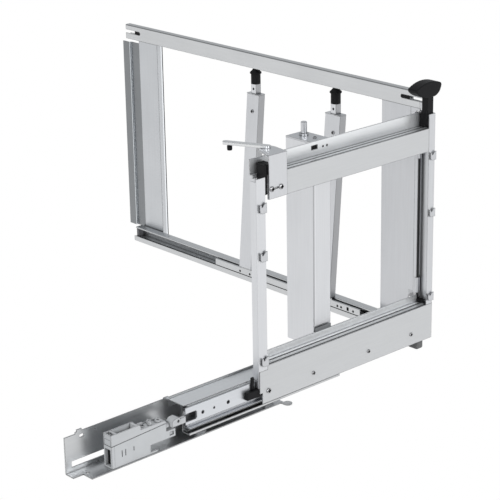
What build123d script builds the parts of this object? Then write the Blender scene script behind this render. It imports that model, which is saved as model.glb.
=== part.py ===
from build123d import *
import os

os.makedirs("parts", exist_ok=True)

# Sheet and fits
sheet = 2.0
thin = 1.5
running = 0.05
fit_gap = 0.5

# Floor bracket, with the floor screws centred on the origin
floor_screw_pitch = 380.0
floor_hole_r = 2.75
bracket_back = -22.0
bracket_front = 21.4
bracket_left = -218.0
bracket_right = 220.0
bracket_top = 67.5
end_relief_x = -1.0
end_relief_y = -198.0
ear_x = 30.0
ear_y = 222.0
ear_r = 8.0
slot_left = -206.0
slot_right = -1.0
slot_low = 9.5
slot_high = 20.0
side_hole_first = -184.0
side_hole_pitch = 380.0
side_hole_z = 58.7
side_hole_r = 2.75
side_hole_length = 9.0

# Damper
damper_depth = 20.0
damper_left = -156.0
damper_step = -76.0
damper_body_right = -42.0
damper_right = -23.0
damper_step_z = 18.0
damper_box_z = 32.0
seam_left_z = 41.0
seam_right_z = 46.0
cap_top = 61.0
cap_step = -95.0
cap_low_top = 52.0
pocket_y = (-140.0, -98.0)
damper_screws_at = ((-148.0, cap_top), (-80.0, cap_low_top))
damper_screw_r = 3.2
tongue_left = -66.0
tongue_z = (36.5, 43.5)
tongue_x = (8.0, 18.0)
catch_left = -34.0
catch_step = -15.5
catch_right = -5.0
catch_x = (10.0, 26.0)
catch_z = (37.5, 51.0)
finger_back = 20.0
finger_top = 48.5

# Main slide section
slide_left = 3.0
slide_length = 352.0
slide_back = 6.0
slide_mid_z = 36.5
outer_half = 26.0
lip_h = 8.0
outer_depth = 16.5
lower_lip_face = 25.0
ball_r = 2.0
ball_gap = 0.1
cage_sheet = 0.7
member_inset = 3.0
middle_depth = 10.0
inner_back = 12.2
inner_face = 23.0
cage_left = 95.0
cage_length = 170.0
balls_per_track = 6
track_step = 2 * (ball_r + ball_gap)
outer_track = outer_half - thin - track_step / 2
middle_half = outer_half - thin - track_step
inner_track = middle_half - thin - track_step / 2
inner_half = middle_half - thin - track_step
outer_ball_x = 14.0
inner_ball_x = 16.0

# Cover over the slide
cover_left = -3.0
cover_right = 240.0
cover_front = 24.5
cover_top = slide_mid_z + outer_half + thin
cover_fold_z = 50.0

# Carrier plate on the inner member
carrier_left = -5.0
carrier_low = 23.0
carrier_face = inner_face + sheet
carrier_top = cover_top - thin - fit_gap
notch_right = 20.0
notch_low = 37.0
notch_high = 51.5
carrier_hole_z = 44.0
carrier_holes = ((33.0, 3.0), (58.0, 1.6), (89.5, 2.4))

# Front frame
plate_back = 33.0
plate_face = plate_back + sheet
plate_low = 21.0
plate_left = 153.0
frame_right = 586.0
plate_heel_y = 159.0
plate_heel_z = 41.0
screw_z = 42.0
carrier_screw_y = (173.0, 280.0)
skirt_screw_y = (418.0, 530.0)
frame_screw_r = 2.55
first_head_r = 4.5
frame_head_r = 3.4
spacer_r = 6.5
channel_end = 575.0
channel_wall = 7.0
groove_back = 15.0
strip_x = (20.0, 28.5)
groove_depth = 4.0
strip_rise = 1.0
front_rise = 2.0
lower_ledge = 87.0
lower_wall_top = lower_ledge + 13.5
lower_skirt_z = lower_ledge - 19.0
plate_top = lower_ledge + front_rise
post_top_notch = plate_top - 7.5
skirt_leaf_left = 380.0
skirt_leaf_right = 562.0
skirt_leaf_z = 28.0
upper_ledge = 422.5
upper_front_top = upper_ledge + front_rise
upper_wall_top = upper_ledge + 25.5
upper_skirt_z = upper_ledge - 40.5
upper_inner_skirt_z = upper_ledge - 14.0
upper_left = 163.0
upper_skirt_left = 178.0
left_post_y = (151.5, 171.6)
left_post_back = 20.0
left_hooks = (101.0, 289.0, 376.0)
right_post_left = 570.0
right_post_back = 8.0
right_post_top = upper_wall_top + 2.0
right_hooks = (96.0, 242.0, 362.0)
hook_inset = 1.5
hook_w = 9.0
hook_reach = 6.0
hook_h = 16.0
hook_foot = 5.0
hook_t = 2.0

# Corner blocks, foot and swing rod
block_back = -3.0
block_left = 575.0
block_right = frame_right - thin
block_inner_back = -1.0
block_inner_left = 562.0
block_ear_left = 566.0
lower_block_top = lower_ledge + 5.0
upper_block_top = upper_wall_top + 1.0
upper_block_low = upper_block_top - 45.0
rod_x = 4.0
rod_y = 579.0
rod_r = 3.0
rod_low = lower_block_top - 32.0
rod_high = upper_block_top - 9.0
foot_low = 1.0

# Pull handle
stem_side = 14.0
stem_x = 25.0
stem_y = 576.0
stem_top = upper_block_top + 35.0
head_back = 10.0
head_depth = 23.0
head_tips = ((538.6, stem_top + 7.0), (602.6, stem_top + 18.0))
head_top = (571.8, stem_top + 23.0)
head_low = (569.6, stem_top - 4.0)

# Lever
flap_y = (178.5, 219.5)
flap_low = upper_skirt_z
flap_top = upper_wall_top + 9.0
flap_screw_z = upper_skirt_z + 17.0
flap_screws = ((184.8, flap_screw_z), (205.5, flap_screw_z))
flap_slot = ((190.0, flap_screw_z - 1.5), (200.0, flap_screw_z + 1.5))
flap_back = ((4.0, 224.0), (-9.0, 222.0), (-12.0, 206.0), (2.0, 188.0), (18.0, 183.5))
flap_screw_r = 2.0
arm_w = 11.0
arm_h = 5.0
arm_root = (2.0, 208.0)
arm_tip = (-66.0, 177.0)
pin_x = -60.0
pin_y = 180.1
pin_r = 2.5
pin_low = flap_top - 10.0
roller_r = 4.5
roller_h = 6.0
collar_h = 1.5
lever_block_low = upper_skirt_z + 8.0
lever_block_top = upper_wall_top - 1.0
lever_block_left = 175.0
lever_block_right = 192.0

# Column
column_back = -65.0
column_face = 2.0
column_y = (314.0, 356.0)
column_low = 70.0
column_top = upper_wall_top - 7.0
cap_t = 3.0
column_pin_x = -45.0
column_pin_y = 338.0
column_pin_r = 5.5
column_pin_top = column_top + 27.0

# Rear frame
rear_face = 575.0
bar_depth = 14.0
bar_low = upper_wall_top + 7.0
bar_high = bar_low + 30.0
bar_left = -825.0
bar_right = 8.0
bar_slot_length = 47.0
bar_window_length = 28.0
bar_window_rise = 6.0
bar_slot_z = (bar_low + 12.0, bar_low + 19.0)
upright_low = 29.0
left_upright_x = (-768.0, -722.0)
right_upright_x = (-86.0, -2.0)
return_y = 590.0
knuckle_r = 5.0
knuckle_h = 30.0
knuckle_gap = 12.0
upper_relief_x = -14.0
side_flange_left = -833.0
side_flange_right = -811.0
side_lap = -755.0
side_low = 44.0
side_high = bar_low - 6.0
rail_left = -793.0
rail_right = -25.0
rail_front = 551.0
rail_low = 17.0
rail_lip = 28.4
rail_wall = 46.0

# Rear slide
rear_mid_z = 36.0
runner_half = 7.0
runner_back = 569.5
runner_x = (-528.0, -115.0)
rear_ball_r = 1.5
rear_sheet = 1.2
rear_track = runner_half + rear_ball_r + ball_gap
rear_outer_half = runner_half + 2 * (rear_ball_r + ball_gap) + rear_sheet
rear_mouth = 556.0
rear_lip = 3.0
rear_ball_y = 563.0
rear_cage_x = (-470.0, -170.0)
rear_balls = 7
stop_length = 6.0
runner_holes = (-453.0, -424.0, -175.0, -165.0, -133.0)
runner_hole_r = 2.2
runner_slot_x = (-150.0, -145.0)

# Carriage posts
post_x = ((-448.0, -413.0), (-230.0, -190.0))
post_depth = 16.0
post_foot_y = 544.0
post_foot_z = 48.0
post_head_y = 573.5
cone_high = bar_low - 1.0
cap_high = cone_high - 7.0
insert_top = cap_high - 23.0
post_head_z = insert_top - 21.0
axis_y = rear_face + bar_depth / 2
plug_low = post_head_z - 15.0
plug_y = 13.0
insert_side = 14.0
cap_r = 9.5
cap_flange_r = 11.5
guide_pin_r = 2.0
guide_pin_top = cone_high + 14.0
guide_roller_r = 4.6
guide_roller_h = 12.0
post_screw_z = post_head_z - 33.5
post_screw_x = (-430.0, -206.0)


# Plane across Y whose sketch axes are X and Z
def facing(y):
    return Plane(origin=(0, y, 0), x_dir=(1, 0, 0), z_dir=(0, -1, 0))


# Plane across X whose sketch axes are Y and Z
def side_on(x):
    return Plane(origin=(x, 0, 0), x_dir=(0, 1, 0), z_dir=(1, 0, 0))


# Folded sheet section in the current sketch
def folded(points, thickness, radius, side):
    with BuildLine() as path:
        FilletPolyline(*points, radius=radius)
        offset(amount=thickness, side=side)
    make_face(path.edges())


# Rolled sheet section with square bends in the current sketch
def rolled(points, thickness, side):
    with BuildLine() as path:
        Polyline(*points)
        offset(amount=thickness, side=side, kind=Kind.INTERSECTION)
    make_face(path.edges())


# Rectangle from one corner to the other, extruded from a plane
def slab(plane, low, high, depth, mode=Mode.ADD):
    with BuildSketch(plane) as shape:
        with Locations(((low[0] + high[0]) / 2, (low[1] + high[1]) / 2)):
            Rectangle(high[0] - low[0], high[1] - low[1])
    extrude(shape.sketch, amount=depth, mode=mode)


# Closed outline extruded from a plane
def outline(plane, points, depth, mode=Mode.ADD):
    with BuildSketch(plane) as shape:
        with BuildLine():
            Polyline(*points, close=True)
        make_face()
    extrude(shape.sketch, amount=depth, mode=mode)


# Round boss or hole extruded from a plane
def disc(plane, centre, radius, depth, mode=Mode.ADD):
    with BuildSketch(plane) as shape:
        with Locations(centre):
            Circle(radius)
    extrude(shape.sketch, amount=depth, mode=mode)


def save(part, name):
    part.label = name
    export_step(part, "parts/" + name + ".step")


# Floor bracket
with BuildPart() as floor_bracket:
    with BuildSketch(facing(bracket_left)):
        folded([(bracket_front, 0), (bracket_back, 0), (bracket_back, bracket_top)], sheet, 2.5, Side.RIGHT)
    extrude(amount=bracket_left - bracket_right)
    slab(Plane.XY, (end_relief_x, bracket_left), (bracket_front, end_relief_y), sheet, Mode.SUBTRACT)
    disc(Plane.XY, (ear_x, ear_y), ear_r, sheet)
    slab(Plane.XY, (bracket_front - sheet, ear_y - ear_r), (ear_x, bracket_right), sheet)
    for end in (-1, 1):
        disc(Plane.XY, (0, end * floor_screw_pitch / 2), floor_hole_r, sheet, Mode.SUBTRACT)
    slab(side_on(bracket_back), (slot_left, slot_low), (slot_right, slot_high), sheet, Mode.SUBTRACT)
    slab(side_on(bracket_back), (-193, bracket_top - 1), (-183, bracket_top + 3.5), sheet)
    slab(side_on(bracket_back), (-13, bracket_top - 1), (-3, bracket_top + 2), sheet)
    slab(side_on(bracket_back), (bracket_left, bracket_top - 3), (-196, bracket_top), sheet, Mode.SUBTRACT)
    for step in (0, side_hole_pitch):
        with BuildSketch(side_on(bracket_back)):
            with Locations((side_hole_first + step, side_hole_z)):
                SlotOverall(side_hole_length, 2 * side_hole_r)
        extrude(amount=sheet, mode=Mode.SUBTRACT)
save(floor_bracket.part, "floor_bracket")

# Damper housing
with BuildPart() as damper_housing:
    outline(side_on(0), [(damper_left, sheet), (damper_step, sheet), (damper_step, damper_step_z),
                         (damper_right, damper_step_z), (damper_right, damper_box_z),
                         (damper_body_right, damper_box_z), (damper_body_right, seam_right_z),
                         (damper_left, seam_left_z)], damper_depth)
    slab(facing(damper_left), (5, 8), (14, 34), -4, Mode.SUBTRACT)
    slab(facing(damper_body_right), (tongue_x[0] - 0.3, tongue_z[0] - 0.3), (tongue_x[1] + 0.3, tongue_z[1] + 0.3),
         damper_body_right - tongue_left + 2, Mode.SUBTRACT)
    for mark in (-146, -132, -100):
        slab(side_on(damper_depth), (mark, 6), (mark + 4, 14), -1.5, Mode.SUBTRACT)
    slab(side_on(damper_depth), (damper_right - 12, damper_step_z + 4), (damper_right - 4, damper_box_z - 4), -1.5,
         Mode.SUBTRACT)
save(damper_housing.part, "damper_housing")

# Damper cap
with BuildPart() as damper_cap:
    outline(side_on(0), [(damper_left, seam_left_z), (damper_body_right, seam_right_z),
                         (damper_body_right, cap_low_top - 2), (damper_body_right - 6, cap_low_top),
                         (cap_step, cap_low_top), (cap_step, cap_top - 2), (cap_step - 3, cap_top),
                         (damper_left, cap_top)], damper_depth)
    slab(Plane.XY.offset(cap_top), (5, pocket_y[0]), (16, pocket_y[1]), -6, Mode.SUBTRACT)
    for screw_y, screw_top in damper_screws_at:
        disc(Plane.XY.offset(screw_top), (damper_depth / 2, screw_y), damper_screw_r + 0.8, -4, Mode.SUBTRACT)
    slab(Plane.XY.offset(cap_low_top), (2, cap_step), (7, cap_step + 30), 3)
    disc(Plane.XY.offset(cap_low_top), (13, damper_body_right - 12), 5.5, 2.5)
    slab(Plane.XY.offset(cap_low_top), (12, cap_step + 22), (18, cap_step + 28), 3.5)
    disc(facing(damper_left), (damper_depth / 2, 54), 2.5, -6, Mode.SUBTRACT)
save(damper_cap.part, "damper_cap")

# Damper catch
with BuildPart() as damper_catch:
    slab(side_on(catch_x[0]), (catch_left, catch_z[0]), (catch_step, catch_z[1]), catch_x[1] - catch_x[0])
    chamfer(damper_catch.edges().filter_by(Axis.Y).group_by(Axis.Z)[-1], 2)
    slab(side_on(finger_back), (catch_step, catch_z[0]), (catch_right, finger_top), catch_x[1] - finger_back)
    slab(facing(tongue_left), (tongue_x[0], tongue_z[0]), (tongue_x[1], tongue_z[1]), tongue_left - catch_left)
    slab(side_on(catch_x[1]), (catch_left + 4, catch_z[0] + 4), (catch_left + 9, catch_z[1] - 5), -2, Mode.SUBTRACT)
save(damper_catch.part, "damper_catch")

# Damper screws
with BuildPart() as damper_screws:
    for screw_y, screw_top in damper_screws_at:
        disc(Plane.XY.offset(screw_top - 4), (damper_depth / 2, screw_y), damper_screw_r, 2.5)
save(damper_screws.part, "damper_screws")

# Slide cover
with BuildPart() as slide_cover:
    cover_inner = bracket_back + sheet
    with BuildSketch(facing(cover_left)):
        folded([(cover_inner, cover_fold_z), (cover_inner, cover_top), (cover_front, cover_top)], thin, 2,
               Side.RIGHT)
    extrude(amount=cover_left - cover_right)
    with BuildSketch(side_on(cover_inner)):
        with Locations((side_hole_first + side_hole_pitch, side_hole_z)):
            SlotOverall(side_hole_length, 2 * side_hole_r)
    extrude(amount=thin, mode=Mode.SUBTRACT)
    disc(Plane.XY.offset(cover_top), (0, floor_screw_pitch / 2), 6, -thin, Mode.SUBTRACT)
save(slide_cover.part, "slide_cover")

# Slide outer member
with BuildPart() as slide_outer:
    front = slide_back + outer_depth
    low = slide_mid_z - outer_half
    high = slide_mid_z + outer_half
    with BuildSketch(facing(slide_left)):
        folded([(lower_lip_face, low + lip_h), (lower_lip_face, low), (slide_back, low), (slide_back, high),
                (front, high), (front, high - lip_h)], thin, 2.5, Side.RIGHT)
    extrude(amount=-slide_length)
    for foot_y in (30, 185):
        slab(Plane.XY.offset(sheet), (slide_back, foot_y), (slide_back + 6, foot_y + 20), low - sheet)
save(slide_outer.part, "slide_outer")


# Cage section with its balls
def ball_cage(back, tip, track, ball_x):
    half = track + cage_sheet / 2
    with BuildSketch(facing(cage_left)) as section:
        folded([(tip, slide_mid_z - half), (back, slide_mid_z - half), (back, slide_mid_z + half),
                (tip, slide_mid_z + half)], cage_sheet, 1, Side.RIGHT)
    extrude(section.sketch, amount=-cage_length)
    pitch = cage_length / balls_per_track
    for index in range(balls_per_track):
        for row in (-1, 1):
            with Locations((ball_x, cage_left + pitch * (index + 0.5), slide_mid_z + row * track)):
                Sphere(ball_r)


# Outer ball cage
with BuildPart() as ball_cage_outer:
    ball_cage(slide_back + thin + 0.5, slide_back + 13, outer_track, outer_ball_x)
save(ball_cage_outer.part, "ball_cage_outer")

# Slide middle member
with BuildPart() as slide_middle:
    back = slide_back + member_inset
    with BuildSketch(facing(slide_left)):
        folded([(back + middle_depth, slide_mid_z - middle_half), (back, slide_mid_z - middle_half),
                (back, slide_mid_z + middle_half), (back + middle_depth, slide_mid_z + middle_half)],
               thin, 2, Side.RIGHT)
    extrude(amount=-slide_length)
save(slide_middle.part, "slide_middle")

# Inner ball cage
with BuildPart() as ball_cage_inner:
    ball_cage(slide_back + member_inset + thin + 0.4, inner_face - 3.5, inner_track, inner_ball_x)
save(ball_cage_inner.part, "ball_cage_inner")

# Slide inner member
with BuildPart() as slide_inner:
    with BuildSketch(facing(slide_left)):
        folded([(inner_back, slide_mid_z - inner_half), (inner_face, slide_mid_z - inner_half),
                (inner_face, slide_mid_z + inner_half), (inner_back, slide_mid_z + inner_half)],
               thin, 2, Side.LEFT)
    extrude(amount=-slide_length)
    slab(side_on(inner_face), (slide_left, notch_low), (notch_right, notch_high), -thin, Mode.SUBTRACT)
save(slide_inner.part, "slide_inner")

# Carrier plate
with BuildPart() as carrier_plate:
    outline(facing(carrier_left), [(inner_face, carrier_low), (inner_face + 1, carrier_low),
                                   (carrier_face, carrier_low + 3), (carrier_face, carrier_top),
                                   (inner_face, carrier_top)], carrier_left - slide_left - slide_length)
    slab(side_on(inner_face), (carrier_left, notch_low), (notch_right, notch_high), sheet, Mode.SUBTRACT)
    for hole_y, hole_r in carrier_holes:
        disc(side_on(inner_face), (hole_y, carrier_hole_z), hole_r, sheet, Mode.SUBTRACT)
save(carrier_plate.part, "carrier_plate")

# Inner end block
with BuildPart() as inner_end_block:
    outline(side_on(carrier_face), [(123, 33), (166, 33), (166, 59), (148, 59), (148, 73), (140, 73),
                                    (140, 59), (142, 57), (142, 43), (130, 43)], plate_back - carrier_face)
save(inner_end_block.part, "inner_end_block")

# Slide spacers
with BuildPart() as slide_spacers:
    for screw_y in carrier_screw_y:
        disc(side_on(carrier_face), (screw_y, screw_z), spacer_r, plate_back - carrier_face)
        disc(side_on(carrier_face), (screw_y, screw_z), frame_screw_r + running, plate_back - carrier_face,
             Mode.SUBTRACT)
save(slide_spacers.part, "slide_spacers")

# Bottom plate
with BuildPart() as bottom_plate:
    outline(side_on(plate_back), [(plate_heel_y, plate_low), (frame_right, plate_low), (frame_right, plate_top),
                                  (left_post_y[1], plate_top), (left_post_y[1], post_top_notch),
                                  (plate_left, post_top_notch), (plate_left, plate_heel_z),
                                  (plate_heel_y, plate_heel_z)], sheet)
    for screw_y in carrier_screw_y + skirt_screw_y:
        disc(side_on(plate_back), (screw_y, screw_z), frame_screw_r + running, sheet, Mode.SUBTRACT)
save(bottom_plate.part, "bottom_plate")


# Upper outline of a channel from its skirt, over two grooves, to its wall
def channel_line(skirt_z, ledge, wall_top):
    floor = ledge - groove_depth
    strip_top = ledge + strip_rise
    return [(plate_back, skirt_z), (plate_back, floor), (strip_x[1], floor), (strip_x[1], strip_top),
            (strip_x[0], strip_top), (strip_x[0], floor), (groove_back, floor), (groove_back, ledge),
            (channel_wall, ledge), (channel_wall, wall_top)]


# Bottom channel
with BuildPart() as bottom_channel:
    with BuildSketch(facing(left_post_y[1])):
        rolled(channel_line(lower_skirt_z, lower_ledge, lower_wall_top), sheet, Side.LEFT)
    extrude(amount=left_post_y[1] - channel_end)
    slab(side_on(plate_back), (skirt_leaf_left, skirt_leaf_z), (skirt_leaf_right, lower_skirt_z + 1), -sheet)
    for screw_y in skirt_screw_y:
        disc(side_on(plate_back), (screw_y, screw_z), frame_screw_r + running, -sheet, Mode.SUBTRACT)
save(bottom_channel.part, "bottom_channel")

# Plate screws
with BuildPart() as plate_screws:
    for screw_y in carrier_screw_y:
        disc(side_on(carrier_face), (screw_y, screw_z), frame_screw_r, plate_face - carrier_face)
    for screw_y in skirt_screw_y:
        disc(side_on(plate_back - sheet), (screw_y, screw_z), frame_screw_r, 2 * sheet)
    for screw_y in carrier_screw_y + skirt_screw_y:
        head_r = first_head_r if screw_y == carrier_screw_y[0] else frame_head_r
        cross = head_r / 2
        disc(side_on(plate_face), (screw_y, screw_z), head_r, 2)
        slab(side_on(plate_face + 2), (screw_y - cross, screw_z - 0.5), (screw_y + cross, screw_z + 0.5), -1,
             Mode.SUBTRACT)
        slab(side_on(plate_face + 2), (screw_y - 0.5, screw_z - cross), (screw_y + 0.5, screw_z + cross), -1,
             Mode.SUBTRACT)
save(plate_screws.part, "plate_screws")

# Top channel
with BuildPart() as top_channel:
    with BuildSketch(facing(upper_left)):
        rolled(channel_line(upper_inner_skirt_z, upper_ledge, upper_wall_top), sheet, Side.LEFT)
    extrude(amount=upper_left - channel_end)
    slab(facing(upper_left), (groove_back, upper_inner_skirt_z - 1), (plate_back + 1, upper_ledge + 2),
         upper_left - upper_skirt_left, Mode.SUBTRACT)
    slab(side_on(plate_back), (upper_skirt_left, upper_skirt_z), (right_post_left, upper_front_top), sheet)
    for hole_y in (324, 342):
        disc(side_on(channel_wall), (hole_y, upper_wall_top - 9), 1.8, -sheet, Mode.SUBTRACT)
    for screw_y, lever_z in flap_screws:
        disc(side_on(plate_back), (screw_y, lever_z), flap_screw_r + running, sheet, Mode.SUBTRACT)
save(top_channel.part, "top_channel")


# Hooks pressed out of a post's front web near its right edge
def hooks(edge_y, heights):
    for height in heights:
        right = edge_y - hook_inset
        left = right - hook_w
        slab(side_on(plate_face), (left, height), (right, height + hook_t), hook_reach)
        slab(side_on(plate_face + hook_reach - hook_t), (left, height), (right, height + hook_h - hook_foot), hook_t)
        slab(side_on(plate_face), (left + 2, height + hook_t), (left + 2 + hook_t, height + hook_h), thin)


# Left post
with BuildPart() as left_post:
    with BuildSketch(Plane.XY.offset(post_top_notch)):
        folded([(left_post_back, left_post_y[0]), (plate_face, left_post_y[0]), (plate_face, left_post_y[1]),
                (left_post_back, left_post_y[1])], thin, 1.6, Side.LEFT)
    extrude(amount=upper_ledge - groove_depth - sheet - post_top_notch)
    for edge_y in (left_post_y[0] + thin, left_post_y[1]):
        slab(facing(edge_y), (left_post_back, cover_top + 2), (plate_back, post_top_notch), thin)
    slab(side_on(plate_face), (left_post_y[0], left_hooks[-1]), (left_post_y[1], upper_ledge - 1), -thin)
    hooks(left_post_y[1], left_hooks)
save(left_post.part, "left_post")

# Right post
with BuildPart() as right_post:
    with BuildSketch(Plane.XY.offset(plate_top)):
        folded([(plate_face, right_post_left), (plate_face, frame_right), (right_post_back, frame_right)],
               thin, 1.6, Side.LEFT)
    extrude(amount=right_post_top - plate_top)
    slab(facing(frame_right), (right_post_back, 40), (plate_back, plate_top), thin)
    hooks(frame_right, right_hooks)
save(right_post.part, "right_post")


# Corner block with a lug behind the channel wall and a body under the ledge
def corner_block(low, high, ledge):
    under = ledge - groove_depth - sheet - fit_gap
    slab(Plane.XY.offset(low), (block_back, block_left), (plate_back, block_right), high - low)
    slab(Plane.XY.offset(low), (block_inner_back, block_inner_left), (plate_back - sheet, block_left), under - low)
    slab(Plane.XY.offset(under), (block_back, block_ear_left), (channel_wall - sheet, block_left), high - under)


# Lower corner block
with BuildPart() as corner_block_bottom:
    corner_block(plate_low, lower_block_top, lower_ledge)
    disc(Plane.XY.offset(rod_low), (rod_x, rod_y), rod_r + running, lower_block_top - rod_low, Mode.SUBTRACT)
save(corner_block_bottom.part, "corner_block_bottom")

# Upper corner block
with BuildPart() as corner_block_top:
    corner_block(upper_block_low, upper_block_top, upper_ledge)
    disc(Plane.XY.offset(upper_block_low), (rod_x, rod_y), rod_r + running, rod_high + fit_gap - upper_block_low,
         Mode.SUBTRACT)
save(corner_block_top.part, "corner_block_top")

# Corner foot
with BuildPart() as corner_foot:
    with BuildSketch(Plane.XY.offset(foot_low)):
        with Locations((16, 575)):
            RectangleRounded(32, 40, 9)
    extrude(amount=plate_low - foot_low)
    fillet(corner_foot.faces().sort_by(Axis.Z)[0].edges(), 3)
save(corner_foot.part, "corner_foot")

# Swing rod
with BuildPart() as swing_rod:
    disc(Plane.XY.offset(rod_low), (rod_x, rod_y), rod_r, rod_high - rod_low)
save(swing_rod.part, "swing_rod")

# Handle stem
with BuildPart() as handle_stem:
    with BuildSketch(Plane.XY.offset(upper_block_top)):
        with Locations((stem_x, stem_y)):
            Rectangle(stem_side, stem_side)
    extrude(amount=stem_top - upper_block_top)
save(handle_stem.part, "handle_stem")

# Pull handle
with BuildPart() as pull_handle:
    with BuildSketch(side_on(head_back)):
        with BuildLine():
            ThreePointArc(head_tips[0], head_top, head_tips[1])
            ThreePointArc(head_tips[1], head_low, head_tips[0])
        make_face()
    extrude(amount=head_depth)
    with BuildSketch(Plane.XY.offset(upper_block_top)):
        with Locations((stem_x, stem_y)):
            Rectangle(stem_side, stem_side)
    extrude(amount=stem_top - upper_block_top, mode=Mode.SUBTRACT)
save(pull_handle.part, "pull_handle")

# Lever bracket
with BuildPart() as lever_bracket:
    slab(side_on(plate_face), (flap_y[0], flap_low), (flap_y[1], flap_top), sheet)
    outline(Plane.XY.offset(flap_top - sheet), [(plate_face + sheet, flap_y[0]), (plate_face + sheet, flap_y[1]),
                                                *flap_back], sheet)
    for screw_y, lever_z in flap_screws:
        disc(side_on(plate_face), (screw_y, lever_z), flap_screw_r + running, sheet, Mode.SUBTRACT)
    slab(side_on(plate_face), flap_slot[0], flap_slot[1], sheet, Mode.SUBTRACT)
save(lever_bracket.part, "lever_bracket")

# Lever block behind the bracket, from the left post over the channel's ledge
with BuildPart() as lever_block:
    slab(side_on(groove_back), (left_post_y[1], lever_block_low), (upper_skirt_left, lever_block_top),
         plate_back - groove_back)
    slab(side_on(channel_wall), (lever_block_left, upper_ledge), (lever_block_right, lever_block_top),
         groove_back - channel_wall)
    slab(side_on(groove_back), (upper_skirt_left, upper_front_top), (lever_block_right, lever_block_top),
         plate_face - groove_back)
save(lever_block.part, "lever_block")

# Lever arm
with BuildPart() as lever_arm:
    with BuildSketch(Plane.XY.offset(flap_top)):
        with Locations(arm_root, arm_tip):
            Circle(arm_w / 2)
        make_hull()
    extrude(amount=arm_h)
save(lever_arm.part, "lever_arm")

# Lever pin
with BuildPart() as lever_pin:
    disc(Plane.XY.offset(pin_low), (pin_x, pin_y), pin_r, flap_top - pin_low)
    disc(Plane.XY.offset(pin_low), (pin_x, pin_y), pin_r + 1.5, collar_h)
save(lever_pin.part, "lever_pin")

# Lever roller
with BuildPart() as lever_roller:
    disc(Plane.XY.offset(pin_low + collar_h), (pin_x, pin_y), roller_r, roller_h)
    disc(Plane.XY.offset(pin_low + collar_h), (pin_x, pin_y), pin_r + running, roller_h, Mode.SUBTRACT)
save(lever_roller.part, "lever_roller")

# Lever screws
with BuildPart() as lever_screws:
    for screw_y, lever_z in flap_screws:
        disc(side_on(plate_back), (screw_y, lever_z), flap_screw_r, 2 * sheet)
        disc(side_on(plate_face + sheet), (screw_y, lever_z), 4, 1.8)
save(lever_screws.part, "lever_screws")

# Column
with BuildPart() as column:
    with BuildSketch(Plane.XY.offset(column_low)):
        folded([(column_back, column_y[0]), (column_face, column_y[0]), (column_face, column_y[1]),
                (column_back, column_y[1])], sheet, 2.5, Side.LEFT)
    extrude(amount=column_top - column_low)
    tab_depth = channel_wall - sheet - column_face
    slab(side_on(column_face), (column_y[0] + 4, lower_ledge), (column_y[1] - 4, lower_wall_top - 2), tab_depth)
    slab(side_on(column_face), (column_y[0] + 4, upper_ledge), (column_y[1] - 4, column_top - 2), tab_depth)
save(column.part, "column")

# Column cap
with BuildPart() as column_cap:
    slab(Plane.XY.offset(column_top), (column_back, column_y[0]), (column_face, column_y[1]), cap_t)
save(column_cap.part, "column_cap")

# Column pin
with BuildPart() as column_pin:
    disc(Plane.XY.offset(column_top + cap_t), (column_pin_x, column_pin_y), column_pin_r + 2.5, 4)
    disc(Plane.XY.offset(column_top + cap_t), (column_pin_x, column_pin_y), column_pin_r,
         column_pin_top - column_top - cap_t)
    chamfer(column_pin.faces().sort_by(Axis.Z)[-1].edges(), 1)
save(column_pin.part, "column_pin")

# Column screw
with BuildPart() as column_screw:
    disc(Plane.XY.offset(column_top + cap_t), (column_pin_x + 27, column_pin_y), 3.5, 2)
save(column_screw.part, "column_screw")

# Column foot clip
with BuildPart() as column_foot:
    slab(Plane.XY.offset(lower_ledge), (channel_wall, column_y[0]), (channel_wall + 2, column_y[1]),
         lower_wall_top - lower_ledge)
save(column_foot.part, "column_foot")

# Rear top bar
with BuildPart() as rear_top_bar:
    with BuildSketch(side_on(bar_left)):
        folded([(rear_face, bar_low), (rear_face, bar_high), (rear_face + bar_depth, bar_high),
                (rear_face + bar_depth, bar_low)], sheet, 2.5, Side.RIGHT)
    extrude(amount=bar_right - bar_left)
    slot_mid = (bar_slot_z[0] + bar_slot_z[1]) / 2
    slot_width = bar_slot_z[1] - bar_slot_z[0]
    for end_x, window_x in ((bar_left, bar_left), (bar_right, bar_right - bar_window_length)):
        with BuildSketch(facing(rear_face)):
            with Locations((end_x, slot_mid)):
                SlotOverall(2 * bar_slot_length, slot_width)
        extrude(amount=-sheet, mode=Mode.SUBTRACT)
        slab(facing(rear_face + bar_depth - sheet), (window_x, bar_slot_z[0] - 2),
             (window_x + bar_window_length, bar_slot_z[1] + bar_window_rise), -sheet, Mode.SUBTRACT)
save(rear_top_bar.part, "rear_top_bar")

# Rear left upright
with BuildPart() as rear_left_upright:
    with BuildSketch(Plane.XY.offset(upright_low)):
        folded([(left_upright_x[0], rear_face), (left_upright_x[1], rear_face), (left_upright_x[1], return_y)],
               sheet, 2.5, Side.LEFT)
    extrude(amount=bar_low - upright_low)
save(rear_left_upright.part, "rear_left_upright")

# Rear side profile
with BuildPart() as rear_side_profile:
    with BuildSketch(Plane.XY.offset(side_low)):
        folded([(side_flange_left, rear_face - sheet), (side_flange_right, rear_face - sheet),
                (side_flange_right, rear_face + sheet), (side_lap, rear_face + sheet)], thin, 1, Side.LEFT)
    extrude(amount=side_high - side_low)
    for end_z in (side_low, side_high):
        disc(facing(rear_face - sheet), ((side_flange_left + side_flange_right) / 2, end_z), 5, -2 * thin,
             Mode.SUBTRACT)
save(rear_side_profile.part, "rear_side_profile")

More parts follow.
